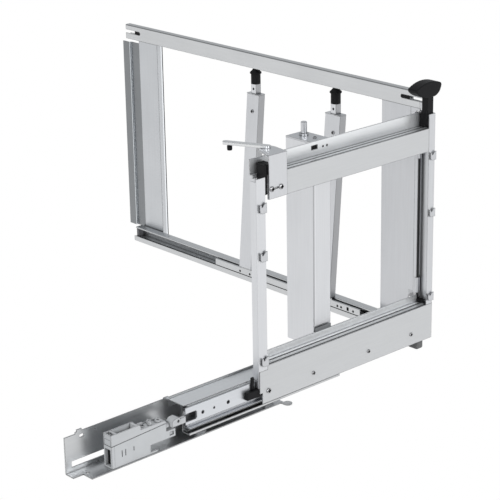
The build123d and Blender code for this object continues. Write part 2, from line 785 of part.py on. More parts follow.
# Rear right upright with its knuckles
with BuildPart() as rear_right_upright:
    with BuildSketch(Plane.XY.offset(upright_low)):
        folded([(right_upright_x[1], rear_face), (right_upright_x[0], rear_face), (right_upright_x[0], return_y)],
               sheet, 2.5, Side.RIGHT)
    extrude(amount=bar_low - upright_low)
    for relief in ((upright_low, lower_block_top + 2), (upper_block_low - 2, bar_low)):
        slab(facing(rear_face), (upper_relief_x, relief[0]), (right_upright_x[1], relief[1]), -sheet,
             Mode.SUBTRACT)
    for knuckle_z in (lower_block_top + knuckle_gap, upper_block_low - knuckle_gap - knuckle_h):
        disc(Plane.XY.offset(knuckle_z), (rod_x, rod_y), knuckle_r, knuckle_h)
        slab(Plane.XY.offset(knuckle_z), (right_upright_x[1] - 1, rear_face), (rod_x, rear_face + sheet), knuckle_h)
        disc(Plane.XY.offset(knuckle_z), (rod_x, rod_y), rod_r, knuckle_h, Mode.SUBTRACT)
save(rear_right_upright.part, "rear_right_upright")

# Rear bottom rail
with BuildPart() as rear_bottom_rail:
    with BuildSketch(side_on(rail_left)):
        folded([(rail_front, rail_lip), (rail_front, rail_low), (rear_face, rail_low), (rear_face, rail_wall)],
               thin, 2, Side.LEFT)
    extrude(amount=rail_right - rail_left)
    slab(facing(rear_face), (rail_left - 12, rail_low + 6), (rail_left + 2, rail_low + 16), thin)
save(rear_bottom_rail.part, "rear_bottom_rail")

# Rear slide outer member
with BuildPart() as rear_slide_outer:
    wall_y = rear_face - thin
    low = rear_mid_z - rear_outer_half
    high = rear_mid_z + rear_outer_half
    with BuildSketch(side_on(rail_left)):
        folded([(rear_mouth, low + rear_lip), (rear_mouth, low), (wall_y, low), (wall_y, high), (rear_mouth, high),
                (rear_mouth, high - rear_lip)], rear_sheet, 1.4, Side.LEFT)
    extrude(amount=rail_right - rail_left)
save(rear_slide_outer.part, "rear_slide_outer")

# Rail stops
with BuildPart() as rail_stops:
    inside = rear_outer_half - rear_sheet
    for stop_x in (rail_left, rail_right - stop_length):
        slab(side_on(stop_x), (rear_mouth + 2, rear_mid_z - inside), (rear_face - thin - rear_sheet - 0.2,
                                                                     rear_mid_z + inside), stop_length)
save(rail_stops.part, "rail_stops")

# Rear ball cage
with BuildPart() as rear_ball_cage:
    half = rear_track + 0.3
    cage_back = runner_back + 1.7
    with BuildSketch(side_on(rear_cage_x[0])):
        folded([(rear_mouth + 3, rear_mid_z - half), (cage_back, rear_mid_z - half), (cage_back, rear_mid_z + half),
                (rear_mouth + 3, rear_mid_z + half)], 0.6, 0.9, Side.LEFT)
    extrude(amount=rear_cage_x[1] - rear_cage_x[0])
    pitch = (rear_cage_x[1] - rear_cage_x[0]) / rear_balls
    for index in range(rear_balls):
        for row in (-1, 1):
            with Locations((rear_cage_x[0] + pitch * (index + 0.5), rear_ball_y, rear_mid_z + row * rear_track)):
                Sphere(rear_ball_r)
save(rear_ball_cage.part, "rear_ball_cage")

# Rear runner with the seats for both posts
with BuildPart() as rear_runner:
    with BuildSketch(side_on(runner_x[0])):
        folded([(runner_back, rear_mid_z - runner_half), (rail_front, rear_mid_z - runner_half),
                (rail_front, rear_mid_z + runner_half), (runner_back, rear_mid_z + runner_half)],
               thin, 1.6, Side.RIGHT)
    extrude(amount=runner_x[1] - runner_x[0])
    for left, right in post_x:
        slab(side_on(left), (rail_front, rear_mid_z + runner_half - 2), (rail_front + thin, post_foot_z),
             right - left)
        slab(side_on(left), (post_foot_y, post_foot_z - thin), (rail_front + thin, post_foot_z), right - left)
    for hole_x in runner_holes:
        disc(facing(rail_front), (hole_x, rear_mid_z - 1.5), runner_hole_r, -thin, Mode.SUBTRACT)
    slab(facing(rail_front), (runner_slot_x[0], rear_mid_z - 4), (runner_slot_x[1], rear_mid_z + 3), -thin,
         Mode.SUBTRACT)
save(rear_runner.part, "rear_runner")


# Leaning channel from the runner to the guide
def leaning_post(left, right):
    lean = post_head_y - post_foot_y
    rise = post_head_z - post_foot_z
    with BuildSketch(Plane.XY.offset(post_foot_z)) as section:
        folded([(left, post_foot_y + post_depth), (left, post_foot_y), (right, post_foot_y),
                (right, post_foot_y + post_depth)], thin, 1.6, Side.LEFT)
    extrude(section.sketch, amount=(lean ** 2 + rise ** 2) ** 0.5, dir=(0, lean, rise))


# Plug and square spigot in a post's top
def insert(left, right):
    middle = (left + right) / 2
    slab(Plane.XY.offset(plug_low), (left + thin, axis_y - plug_y / 2), (right - thin, axis_y + plug_y / 2),
         post_head_z - plug_low)
    slab(Plane.XY.offset(post_head_z), (left, post_head_y), (right, post_head_y + post_depth), thin)
    slab(Plane.XY.offset(post_head_z), (middle - insert_side / 2, axis_y - plug_y / 2),
         (middle + insert_side / 2, axis_y + plug_y / 2), insert_top - post_head_z)
    disc(facing(axis_y - plug_y / 2), (middle, post_head_z + 11), 2.2, -plug_y, Mode.SUBTRACT)


# Flanged cap with the pin of its guide roller
def guide_cap(left, right):
    middle = (left + right) / 2
    disc(Plane.XY.offset(insert_top), (middle, axis_y), cap_r, cap_high - insert_top)
    disc(Plane.XY.offset(cap_high - 2.5), (middle, axis_y), cap_flange_r, 2.5)
    with Locations((middle, axis_y, cap_high)):
        Cone(cap_flange_r - 0.5, guide_roller_r, cone_high - cap_high, align=(Align.CENTER, Align.CENTER, Align.MIN))
    disc(Plane.XY.offset(cone_high), (middle, axis_y), guide_pin_r, guide_pin_top - cone_high)


# Roller that runs in the top bar
def guide_roller(left, right):
    middle = (left + right) / 2
    disc(Plane.XY.offset(cone_high), (middle, axis_y), guide_roller_r, guide_roller_h)
    disc(Plane.XY.offset(cone_high), (middle, axis_y), guide_pin_r + running, guide_roller_h, Mode.SUBTRACT)


# Left carriage post and its fittings
with BuildPart() as carriage_post_left:
    leaning_post(*post_x[0])
save(carriage_post_left.part, "carriage_post_left")

with BuildPart() as post_insert_left:
    insert(*post_x[0])
save(post_insert_left.part, "post_insert_left")

with BuildPart() as guide_cap_left:
    guide_cap(*post_x[0])
save(guide_cap_left.part, "guide_cap_left")

with BuildPart() as guide_roller_left:
    guide_roller(*post_x[0])
save(guide_roller_left.part, "guide_roller_left")

# Right carriage post and its fittings
with BuildPart() as carriage_post_right:
    leaning_post(*post_x[1])
save(carriage_post_right.part, "carriage_post_right")

with BuildPart() as post_insert_right:
    insert(*post_x[1])
save(post_insert_right.part, "post_insert_right")

with BuildPart() as guide_cap_right:
    guide_cap(*post_x[1])
save(guide_cap_right.part, "guide_cap_right")

with BuildPart() as guide_roller_right:
    guide_roller(*post_x[1])
save(guide_roller_right.part, "guide_roller_right")

# Carriage post screws
with BuildPart() as post_screws:
    post_rise = post_head_z - post_foot_z
    post_lean = post_head_y - post_foot_y
    face_y = post_foot_y + post_lean * (post_screw_z - post_foot_z) / post_rise
    for screw_x in post_screw_x:
        seat = Plane(origin=(screw_x, face_y, post_screw_z), x_dir=(1, 0, 0), z_dir=(0, -post_rise, post_lean))
        disc(seat, (0, 0), 3.5, 1.8)
save(post_screws.part, "post_screws")
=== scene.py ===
import math

import bmesh
import bpy
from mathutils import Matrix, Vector


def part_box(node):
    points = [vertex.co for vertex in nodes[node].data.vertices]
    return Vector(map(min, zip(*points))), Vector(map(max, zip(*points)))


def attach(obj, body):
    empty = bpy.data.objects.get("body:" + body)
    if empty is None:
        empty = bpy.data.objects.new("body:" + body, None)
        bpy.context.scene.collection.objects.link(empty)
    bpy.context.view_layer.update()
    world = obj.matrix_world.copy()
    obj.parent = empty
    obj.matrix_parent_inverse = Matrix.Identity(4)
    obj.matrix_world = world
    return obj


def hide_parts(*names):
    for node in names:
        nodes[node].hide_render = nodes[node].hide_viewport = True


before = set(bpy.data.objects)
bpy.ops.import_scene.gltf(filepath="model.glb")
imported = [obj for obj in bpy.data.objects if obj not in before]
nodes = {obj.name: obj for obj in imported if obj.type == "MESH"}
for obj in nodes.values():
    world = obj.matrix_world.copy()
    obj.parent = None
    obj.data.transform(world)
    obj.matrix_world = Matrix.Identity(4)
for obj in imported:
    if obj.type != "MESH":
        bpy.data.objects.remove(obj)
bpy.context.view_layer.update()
print("frame loaded with", len(nodes), "nodes")

mm = 0.001

# Grain stretched along one axis of the frame, and the slide's finer one
alongX, alongY, alongZ = (14, 380, 380), (380, 14, 380), (380, 380, 14)
railGrain = (420, 14, 420)

# Painted light and shade bands are an axis, its low and high end in mm, and where each level of
# brightness starts
# A finish's own shade settings change its painted shade at edges and corners
steelFinishes = {
    "zincSheet": {"colour": (0.60, 0.61, 0.62), "rough": 0.30, "grain": railGrain, "metal": 0.95},
    # Same sheet steel with deeper painted shade in the corners of the rail's interior
    "railSteel": {"colour": (0.60, 0.61, 0.62), "rough": 0.30, "grain": railGrain, "metal": 0.95,
                  "paintedShade": {"cornerReach": 0.010, "cornerShade": 0.28}},
    "frameSteel": {"colour": (0.60, 0.61, 0.63), "rough": 0.34, "grain": alongZ, "metal": 0.92},
    # Channels: painted light on the wall, painted shade in the two grooves; the bottom channel's copy
    # has more painted light on its wall and ledge
    "plateSteel": {"colour": (0.62, 0.63, 0.64), "rough": 0.36, "grain": alongY, "metal": 0.72,
                   "paintedLightBands": ("X", 0.0, 50.0, ((0.0, 1.38), (7.4, 1.0), (15.0, 0.05), (20.0, 1.0),
                                              (28.5, 0.06), (33.0, 0.94)))},
    "lowerSteel": {"colour": (0.62, 0.63, 0.64), "rough": 0.36, "grain": alongY, "metal": 0.72,
                   "paintedLightBands": ("X", 0.0, 50.0, ((0.0, 1.6), (7.4, 1.3), (15.0, 0.05), (20.0, 1.0),
                                              (28.5, 0.06), (33.0, 0.94)))},
    # Lighter than the other sheet steel: painted light on the cover's top
    "coverSteel": {"colour": (0.80, 0.815, 0.83), "rough": 0.34, "grain": alongY, "metal": 0.86},
    # Painted highlight and painted shade lines along the edges of the carriage posts and their inserts
    "carriageSteel": {"colour": (0.66, 0.67, 0.69), "rough": 0.34, "grain": alongZ, "metal": 0.92,
                      "paintedLightBands": ("X", -460.0, -180.0,
                                ((-460.0, 1.0), (-415.6, 1.12), (-414.2, 0.6), (-413.3, 0.83),
                                 (-400.0, 1.0), (-192.6, 1.12), (-191.2, 0.6), (-190.3, 0.83)))},
    "insertSteel": {"colour": (0.66, 0.67, 0.69), "rough": 0.3, "grain": alongZ, "metal": 0.92,
                    "paintedLightBands": ("X", -460.0, -180.0,
                              ((-460.0, 1.05), (-424.8, 0.6), (-423.7, 0.84), (-400.0, 1.05),
                               (-204.3, 0.6), (-203.2, 0.84)))},
    "postSteel": {"colour": (0.645, 0.655, 0.675), "rough": 0.34, "grain": alongZ, "metal": 0.92,
                  "paintedShade": {"cornerReach": 0.0025}},
    # Lighter copy of the frame steel: painted light on the column and left post, with painted shade
    # and painted highlight lines at the column's bends and no painted edge shade
    "columnSteel": {"colour": (0.69, 0.70, 0.72), "rough": 0.34, "grain": alongZ, "metal": 0.9,
                    "paintedLightBands": ("Y", 310.0, 360.0, ((310.0, 1.0), (314.2, 0.66), (316.4, 1.1),
                                                  (319.0, 1.0), (352.0, 1.05), (354.0, 0.8))),
                    "paintedShade": {"edgeShade": 1.0}},
    # Painted highlight and a painted shade line on the left upright's return flange
    "uprightSteel": {"colour": (0.585, 0.60, 0.62), "rough": 0.34, "grain": alongZ, "metal": 0.92,
                     "paintedLightBands": ("Y", 570.0, 595.0, ((570.0, 1.0), (584.5, 1.6), (587.6, 0.12)))},
    "webSteel": {"colour": (0.68, 0.70, 0.73), "rough": 0.30, "grain": alongY, "metal": 0.92},
    # Darker steel with deep painted shade in the cross recesses of the screw heads
    "screwSteel": {"colour": (0.44, 0.44, 0.45), "rough": 0.26, "grain": (300, 300, 300),
                   "metal": 1.0,
                   "paintedShade": {"cornerReach": 0.003, "cornerShade": 0.02, "edgeReach": 0.0004}},
    # Painted shade line along the top edge of the bar, and a darker top face as painted shade
    "barSteel": {"colour": (0.64, 0.65, 0.66), "rough": 0.34, "grain": alongX, "metal": 0.92,
                 "paintedLightBands": ("Z", 440.0, 490.0, ((440.0, 1.0), (482.6, 0.45), (484.4, 0.85)))},
    "brightSteel": {"colour": (0.74, 0.75, 0.76), "rough": 0.22, "grain": (220, 220, 220),
                    "metal": 1.0},
    # Darker copy of the steel as painted shade on the side profile, with a painted highlight on its
    # step face
    "shadeSteel": {"colour": (0.26, 0.27, 0.28), "rough": 0.38, "grain": alongZ, "metal": 0.9,
                   "paintedLightBands": ("X", -835.0, -750.0, ((-835.0, 1.0), (-812.6, 3.4), (-810.6, 0.3),
                                                   (-808.6, 1.0))),
                   "paintedShade": {"cornerReach": 0.0008, "edgeReach": 0.0003}},
    "darkSteel": {"colour": (0.012, 0.012, 0.013), "rough": 0.42, "grain": (300, 300, 60),
                  "metal": 0.2},
}

mouldedFinishes = {
    "greyPlastic": {"colour": (0.47, 0.48, 0.49), "rough": 0.42, "grain": 900},
    "darkPlastic": {"colour": (0.008, 0.008, 0.009), "rough": 0.45, "grain": 1100, "gloss": 0.13},
    "footPlastic": {"colour": (0.13, 0.13, 0.13), "rough": 0.5, "grain": 900, "gloss": 0.2},
    "stopRubber": {"colour": (0.20, 0.20, 0.21), "rough": 0.6, "grain": 700},
}

# What all the steels share, and all the mouldings
steelLook = {"grainScale": 1.0, "grainDetail": 3, "cloudScale": 9.0, "cloudDetail": 4, "swing": 0.02,
             "smoother": 0.05, "rougher": 0.07, "bump": 0.10, "bumpDepth": 0.0004, "gloss": 0.5}
mouldedLook = {"grainDetail": 2, "cloudScale": 14.0, "cloudDetail": 3, "swing": 0.07,
               "smoother": 0.04, "rougher": 0.08, "bump": 0.15, "bumpDepth": 0.0002, "gloss": 0.4}
noiseRange = (0.3, 0.7)

# Painted shade: darker edges, and darker corners where sheet meets sheet
paintedShadeDefaults = {"edgeReach": 0.0019, "edgeShade": 0.22, "edgeRange": (0.80, 0.995), "edgeSamples": 6,
           "cornerReach": 0.006, "cornerShade": 0.40, "cornerRange": (0.25, 0.85), "cornerSamples": 8}

nodeFinish = {
    "zincSheet": ["floor_bracket", "slide_cover", "slide_outer", "slide_middle", "slide_inner",
                  "carrier_plate", "rear_runner"],
    "railSteel": ["rear_slide_outer", "rear_bottom_rail"],
    "postSteel": ["right_post", "lever_bracket"],
    "carriageSteel": ["carriage_post_left", "carriage_post_right"],
    "insertSteel": ["post_insert_left", "post_insert_right"],
    "frameSteel": ["column_cap", "rear_right_upright", "column_foot", "column_pin"],
    "columnSteel": ["left_post", "column"],
    "uprightSteel": ["rear_left_upright"],
    "plateSteel": ["bottom_plate", "top_channel"],
    "lowerSteel": ["bottom_channel"],
    "shadeSteel": ["rear_side_profile"],
    "barSteel": ["rear_top_bar"],
    "brightSteel": ["plate_screws", "lever_screws", "post_screws", "column_screw", "damper_screws",
                    "slide_spacers", "ball_cage_outer", "ball_cage_inner", "rear_ball_cage",
                    "lever_arm"],
    "greyPlastic": ["damper_housing", "damper_cap", "damper_catch"],
    "darkPlastic": ["inner_end_block", "corner_block_bottom", "corner_block_top", "corner_foot",
                    "pull_handle", "handle_stem", "lever_block", "guide_cap_left", "guide_cap_right",
                    "guide_roller_left", "guide_roller_right", "lever_roller"],
    "darkSteel": ["swing_rod", "lever_pin"],
    "stopRubber": ["rail_stops"],
}


def newMaterial(name):
    made = bpy.data.materials.new(name)
    made.use_nodes = True
    tree = made.node_tree
    return made, tree.nodes, tree.links, tree.nodes["Principled BSDF"]


def objectNoise(shaderNodes, links, scale, detail, stretch=(1, 1, 1)):
    where = shaderNodes.new("ShaderNodeTexCoord")
    mapping = shaderNodes.new("ShaderNodeMapping")
    mapping.inputs["Scale"].default_value = stretch
    noise = shaderNodes.new("ShaderNodeTexNoise")
    noise.inputs["Scale"].default_value = scale
    noise.inputs["Detail"].default_value = detail
    links.new(where.outputs["Object"], mapping.inputs["Vector"])
    links.new(mapping.outputs["Vector"], noise.inputs["Vector"])
    return noise


def shadedColour(shaderNodes, links, source, colour, swing):
    ramp = shaderNodes.new("ShaderNodeValToRGB")
    darker, lighter = ramp.color_ramp.elements
    darker.position, lighter.position = noiseRange
    darker.color = tuple(c * (1 - swing) for c in colour) + (1,)
    lighter.color = tuple(min(1, c * (1 + swing)) for c in colour) + (1,)
    links.new(source, ramp.inputs["Fac"])
    return ramp.outputs["Color"]


def remapped(shaderNodes, links, source, fromRange, toRange):
    remap = shaderNodes.new("ShaderNodeMapRange")
    remap.inputs["From Min"].default_value, remap.inputs["From Max"].default_value = fromRange
    remap.inputs["To Min"].default_value, remap.inputs["To Max"].default_value = toRange
    links.new(source, remap.inputs["Value"])
    return remap.outputs["Result"]


# Painted shade on the colour, darker at edges and in corners and creases
def withPaintedShade(shaderNodes, links, colour, finish):
    paintedShade = {**paintedShadeDefaults, **finish.get("paintedShade", {})}
    rounded = shaderNodes.new("ShaderNodeBevel")
    rounded.samples = paintedShade["edgeSamples"]
    rounded.inputs["Radius"].default_value = paintedShade["edgeReach"]
    flat = shaderNodes.new("ShaderNodeNewGeometry")
    turn = shaderNodes.new("ShaderNodeVectorMath")
    turn.operation = "DOT_PRODUCT"
    links.new(rounded.outputs["Normal"], turn.inputs[0])
    links.new(flat.outputs["Normal"], turn.inputs[1])
    edge = remapped(shaderNodes, links, turn.outputs["Value"], paintedShade["edgeRange"],
                    (paintedShade["edgeShade"], 1.0))
    corner = shaderNodes.new("ShaderNodeAmbientOcclusion")
    corner.samples = paintedShade["cornerSamples"]
    corner.inputs["Distance"].default_value = paintedShade["cornerReach"]
    paintedCornerShade = remapped(shaderNodes, links, corner.outputs["AO"], paintedShade["cornerRange"],
                       (paintedShade["cornerShade"], 1.0))
    both = shaderNodes.new("ShaderNodeMath")
    both.operation = "MULTIPLY"
    links.new(edge, both.inputs[0])
    links.new(paintedCornerShade, both.inputs[1])
    shade = shaderNodes.new("ShaderNodeVectorMath")
    shade.operation = "SCALE"
    links.new(colour, shade.inputs[0])
    links.new(both.outputs[0], shade.inputs["Scale"])
    return shade.outputs["Vector"]


# Painted light and shade by place along one axis of the frame
def withPaintedLightBands(shaderNodes, links, colour, paintedLightBands):
    axis, low, high, levels = paintedLightBands
    where = shaderNodes.new("ShaderNodeTexCoord")
    split = shaderNodes.new("ShaderNodeSeparateXYZ")
    links.new(where.outputs["Object"], split.inputs[0])
    reach = remapped(shaderNodes, links, split.outputs[axis], (low * mm, high * mm), (0.0, 1.0))
    ramp = shaderNodes.new("ShaderNodeValToRGB")
    ramp.color_ramp.interpolation = "CONSTANT"
    stops = ramp.color_ramp.elements
    for index, (start, level) in enumerate(levels):
        place = (start - low) / (high - low)
        stop = stops[index] if index < 2 else stops.new(place)
        stop.position = place
        stop.color = (level, level, level, 1)
    links.new(reach, ramp.inputs["Fac"])
    shade = shaderNodes.new("ShaderNodeVectorMath")
    shade.operation = "MULTIPLY"
    links.new(colour, shade.inputs[0])
    links.new(ramp.outputs["Color"], shade.inputs[1])
    return shade.outputs["Vector"]


# Uneven roughness read from one noise, and bump from the grain
def roughened(shaderNodes, links, shader, finish, look, uneven, grain):
    rough = finish["rough"]
    reach = (rough - look["smoother"], rough + look["rougher"])
    links.new(remapped(shaderNodes, links, uneven.outputs["Fac"], noiseRange, reach),
              shader.inputs["Roughness"])
    bump = shaderNodes.new("ShaderNodeBump")
    bump.inputs["Strength"].default_value = look["bump"]
    bump.inputs["Distance"].default_value = look["bumpDepth"]
    links.new(grain.outputs["Fac"], bump.inputs["Height"])
    links.new(bump.outputs["Normal"], shader.inputs["Normal"])
    shader.inputs["Specular IOR Level"].default_value = finish.get("gloss", look["gloss"])


def steelMaterial(name, finish):
    look = steelLook
    made, shaderNodes, links, shader = newMaterial(name)
    grain = objectNoise(shaderNodes, links, look["grainScale"], look["grainDetail"], finish["grain"])
    cloud = objectNoise(shaderNodes, links, look["cloudScale"], look["cloudDetail"])
    plain = shadedColour(shaderNodes, links, grain.outputs["Fac"], finish["colour"], look["swing"])
    if "paintedLightBands" in finish:
        plain = withPaintedLightBands(shaderNodes, links, plain, finish["paintedLightBands"])
    links.new(withPaintedShade(shaderNodes, links, plain, finish), shader.inputs["Base Color"])
    roughened(shaderNodes, links, shader, finish, look, cloud, grain)
    shader.inputs["Metallic"].default_value = finish["metal"]
    return made


def mouldedMaterial(name, finish):
    look = mouldedLook
    made, shaderNodes, links, shader = newMaterial(name)
    grain = objectNoise(shaderNodes, links, finish["grain"], look["grainDetail"])
    cloud = objectNoise(shaderNodes, links, look["cloudScale"], look["cloudDetail"])
    plain = shadedColour(shaderNodes, links, cloud.outputs["Fac"], finish["colour"], look["swing"])
    links.new(withPaintedShade(shaderNodes, links, plain, finish), shader.inputs["Base Color"])
    roughened(shaderNodes, links, shader, finish, look, grain, grain)
    return made


finishes = {name: steelMaterial(name, finish) for name, finish in steelFinishes.items()}
finishes.update({name: mouldedMaterial(name, finish) for name, finish in mouldedFinishes.items()})
for finishName, members in nodeFinish.items():
    for member in members:
        nodes[member].data.materials.clear()
        nodes[member].data.materials.append(finishes[finishName])
print("finishes set on the frame")


def meshOf(shape, name):
    mesh = bpy.data.meshes.new(name)
    shape.to_mesh(mesh)
    shape.free()
    return mesh


def linkedObject(name, data):
    made = bpy.data.objects.new(name, data)
    bpy.context.scene.collection.objects.link(made)
    return made


# Mesh of a piece with its modifiers applied
def settledMesh(piece):
    evaluated = piece.evaluated_get(bpy.context.evaluated_depsgraph_get())
    return bpy.data.meshes.new_from_object(evaluated)


# Closed solid drawn out of an outline, with the loops after it as its holes
def addPrism(shape, loops, origin, acrossAxis, upAxis, depth):
    part = bmesh.new()
    for loop in loops:
        outline = [part.verts.new((Vector(origin) + Vector(acrossAxis) * across + Vector(upAxis) * up)
                                  * mm) for across, up in loop]
        for start, end in zip(outline, outline[1:] + outline[:1]):
            part.edges.new((start, end))
    bmesh.ops.triangle_fill(part, use_beauty=True, edges=part.edges[:])
    lifted = bmesh.ops.extrude_face_region(part, geom=part.faces[:])["geom"]
    travel = Vector(acrossAxis).cross(Vector(upAxis)) * depth * mm
    raised = [piece for piece in lifted if isinstance(piece, bmesh.types.BMVert)]
    bmesh.ops.translate(part, vec=travel, verts=raised)
    bmesh.ops.recalc_face_normals(part, faces=part.faces[:])
    carrier = meshOf(part, "part")
    shape.from_mesh(carrier)
    bpy.data.meshes.remove(carrier)


xAxis, yAxis, zAxis = (1, 0, 0), (0, 1, 0), (0, 0, 1)


# Outline in Y and Z, lifted along +X
def addSide(shape, loops, low, depth):
    addPrism(shape, loops, (low, 0, 0), yAxis, zAxis, depth)


# Outline in X and Y, lifted along +Z
def addFlat(shape, loops, low, depth):
    addPrism(shape, loops, (0, 0, low), xAxis, yAxis, depth)


# Outline in X and Z, drawn out along +Y
def addRun(shape, loops, low, depth):
    addPrism(shape, loops, (0, low, 0), xAxis, zAxis, -depth)


def corners(low, high):
    return [low, (high[0], low[1]), high, (low[0], high[1])]


# Block between two ends on each axis
def addBlock(shape, x, y, z):
    addFlat(shape, [corners((x[0], y[0]), (x[1], y[1]))], z[0], z[1] - z[0])


# Slab between two ends in X, from its low to its high corner in Y and Z
def addSlab(shape, x, span):
    addSide(shape, [corners(*span)], x[0], x[1] - x[0])


fullTurn = 2 * math.pi
roundSides = 20


# Points round a centre, from a first angle over a turn
def arcPoints(centre, radius, first, turn, count):
    return [(centre[0] + radius * math.cos(first + turn * k / count),
             centre[1] + radius * math.sin(first + turn * k / count)) for k in range(count + 1)]


def ring(centre, radius, count=roundSides):
    return arcPoints(centre, radius, 0, fullTurn, count)[:-1]


# Points of the arc through three points
def arcThrough(start, middle, end, count):
    start, middle, end = Vector(start), Vector(middle), Vector(end)
    near, far = middle - start, end - start
    nearSquare, farSquare = near.length_squared, far.length_squared
    centre = start + Vector((far.y * nearSquare - near.y * farSquare,
                             near.x * farSquare - far.x * nearSquare)) / (2 * near.cross(far))
    first, half, last = (math.atan2(point.y - centre.y, point.x - centre.x)
                         for point in (start, middle, end))
    turn = (last - first) % fullTurn
    if (half - first) % fullTurn > turn:
        turn -= fullTurn
    return arcPoints(centre, (start - centre).length, first, turn, count)


# Body and replaced nodes of a finished piece
def handedOver(piece, body, replaced):
    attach(piece, body)
    if replaced:
        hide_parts(*replaced)


sharpAngle = math.radians(35)


def finished(shape, name, finish, body, replaced=(), rounding=0.0, steps=2):
    piece = linkedObject(name, meshOf(shape, name))
    if rounding:
        soften = piece.modifiers.new("softEdges", "BEVEL")
        soften.width = rounding * mm
        soften.segments = steps
        soften.limit_method = "ANGLE"
        soften.angle_limit = sharpAngle
        settled = settledMesh(piece)
        piece.modifiers.clear()
        piece.data = settled
    piece.data.materials.clear()
    piece.data.materials.append(finishes[finish])
    handedOver(piece, body, replaced)


# Copies of one object on points, each scaled by the size of its point
def copiesTree():
    tree = bpy.data.node_groups.new("copiesOnPoints", "GeometryNodeTree")
    sockets = {}
    for label, kind in (("Points", "Geometry"), ("Copy", "Object"), ("Turn", "Vector"),
                        ("Finish", "Material")):
        sockets[label] = tree.interface.new_socket(name=label, in_out="INPUT",
                                                   socket_type="NodeSocket" + kind)
    tree.interface.new_socket(name="Pieces", in_out="OUTPUT", socket_type="NodeSocketGeometry")
    given = tree.nodes.new("NodeGroupInput")
    result = tree.nodes.new("NodeGroupOutput")
    copied = tree.nodes.new("GeometryNodeObjectInfo")
    size = tree.nodes.new("GeometryNodeInputNamedAttribute")
    size.data_type = "FLOAT"
    size.inputs["Name"].default_value = "size"
    turn = tree.nodes.new("FunctionNodeEulerToRotation")
    spreadOut = tree.nodes.new("GeometryNodeInstanceOnPoints")
    real = tree.nodes.new("GeometryNodeRealizeInstances")
    paint = tree.nodes.new("GeometryNodeSetMaterial")
    links = tree.links
    links.new(given.outputs["Points"], spreadOut.inputs["Points"])
    links.new(given.outputs["Copy"], copied.inputs["Object"])
    links.new(copied.outputs["Geometry"], spreadOut.inputs["Instance"])
    links.new(given.outputs["Turn"], turn.inputs[0])
    links.new(turn.outputs[0], spreadOut.inputs["Rotation"])
    links.new(next(out for out in size.outputs if out.enabled and out.name == "Attribute"),
              spreadOut.inputs["Scale"])
    links.new(spreadOut.outputs["Instances"], real.inputs["Geometry"])
    links.new(real.outputs["Geometry"], paint.inputs["Geometry"])
    links.new(given.outputs["Finish"], paint.inputs["Material"])
    links.new(paint.outputs["Geometry"], result.inputs["Pieces"])
    return tree, sockets


copying, copySockets = copiesTree()


def copiesAt(name, pattern, points, turn, finish, body, replaced=()):
    mesh = bpy.data.meshes.new(name)
    mesh.from_pydata([tuple(c * mm for c in place) for place, size in points], [], [])
    sizes = mesh.attributes.new("size", "FLOAT", "POINT")
    for index, (place, size) in enumerate(points):
        sizes.data[index].value = size
    holder = linkedObject(name + "Points", mesh)
    bpy.context.scene.collection.objects.link(pattern)
    spreader = holder.modifiers.new("copies", "NODES")
    spreader.node_group = copying
    spreader[copySockets["Copy"].identifier] = pattern
    spreader[copySockets["Turn"].identifier] = turn
    spreader[copySockets["Finish"].identifier] = finishes[finish]
    settled = settledMesh(holder)
    bpy.data.objects.remove(holder)
    bpy.context.scene.collection.objects.unlink(pattern)
    handedOver(linkedObject(name, settled), body, replaced)


screw = {"sides": 20, "rings": ((1.0, 0.0), (1.0, 0.28), (0.86, 0.48), (0.68, 0.55)),
         "armLength": 0.76, "armHalf": 0.30, "recess": 0.52}


# Pan head of unit radius with a cross recess
def screwPattern():
    shape = bmesh.new()
    sides = screw["sides"]
    rings = [[shape.verts.new((x * mm, y * mm, height * mm)) for x, y in ring((0, 0), radius, sides)]
             for radius, height in screw["rings"]]
    shape.faces.new(rings[0][::-1])
    for lower, upper in zip(rings, rings[1:]):
        for k in range(sides):
            follow = (k + 1) % sides
            shape.faces.new((lower[k], lower[follow], upper[follow], upper[k]))
    arm, half = screw["armLength"], screw["armHalf"]
    cross = [(arm, -half), (arm, half), (half, half), (half, arm), (-half, arm), (-half, half),
             (-arm, half), (-arm, -half), (-half, -half), (-half, -arm), (half, -arm), (half, -half)]
    top = screw["rings"][-1][1]
    mouth = [shape.verts.new((x * mm, y * mm, top * mm)) for x, y in cross]
    floor = [shape.verts.new((x * mm, y * mm, (top - screw["recess"]) * mm)) for x, y in cross]
    count = len(cross)
    for k in range(count):
        follow = (k + 1) % count
        shape.faces.new((mouth[k], mouth[follow], floor[follow], floor[k]))
    shape.faces.new(floor)
    rim = [shape.edges.get((rings[-1][k], rings[-1][(k + 1) % sides])) for k in range(sides)]
    lip = [shape.edges.get((mouth[k], mouth[(k + 1) % count])) for k in range(count)]
    bmesh.ops.triangle_fill(shape, use_beauty=True, edges=rim + lip)
    bmesh.ops.recalc_face_normals(shape, faces=shape.faces[:])
    return bpy.data.objects.new("screwPattern", meshOf(shape, "screwPattern"))


endBlock = {"x": (25.0, 33.0), "body": ((126.0, 36.0), (166.0, 50.0)), "thin": 3.0,
            "upright": ((140.0, 50.0), (146.0, 73.0)), "round": 1.0}


def makeEndBlock():
    low, high = endBlock["x"]
    shape = bmesh.new()
    addSlab(shape, (low, high), endBlock["body"])
    addSlab(shape, (low, low + endBlock["thin"]), endBlock["upright"])
    finished(shape, "endBlock", "darkPlastic", "front", ("inner_end_block",),
             endBlock["round"])


outerMember = {"y": (3.0, 355.0), "z": (10.5, 62.5), "back": 6.0, "lip": 25.0, "topFront": 22.5,
               "sheet": 1.5, "lowLip": 4.0, "topLip": 8.0, "feet": (30.0, 185.0), "footLength": 20.0,
               "footWidth": 6.0, "floor": 2.0, "round": 0.3}


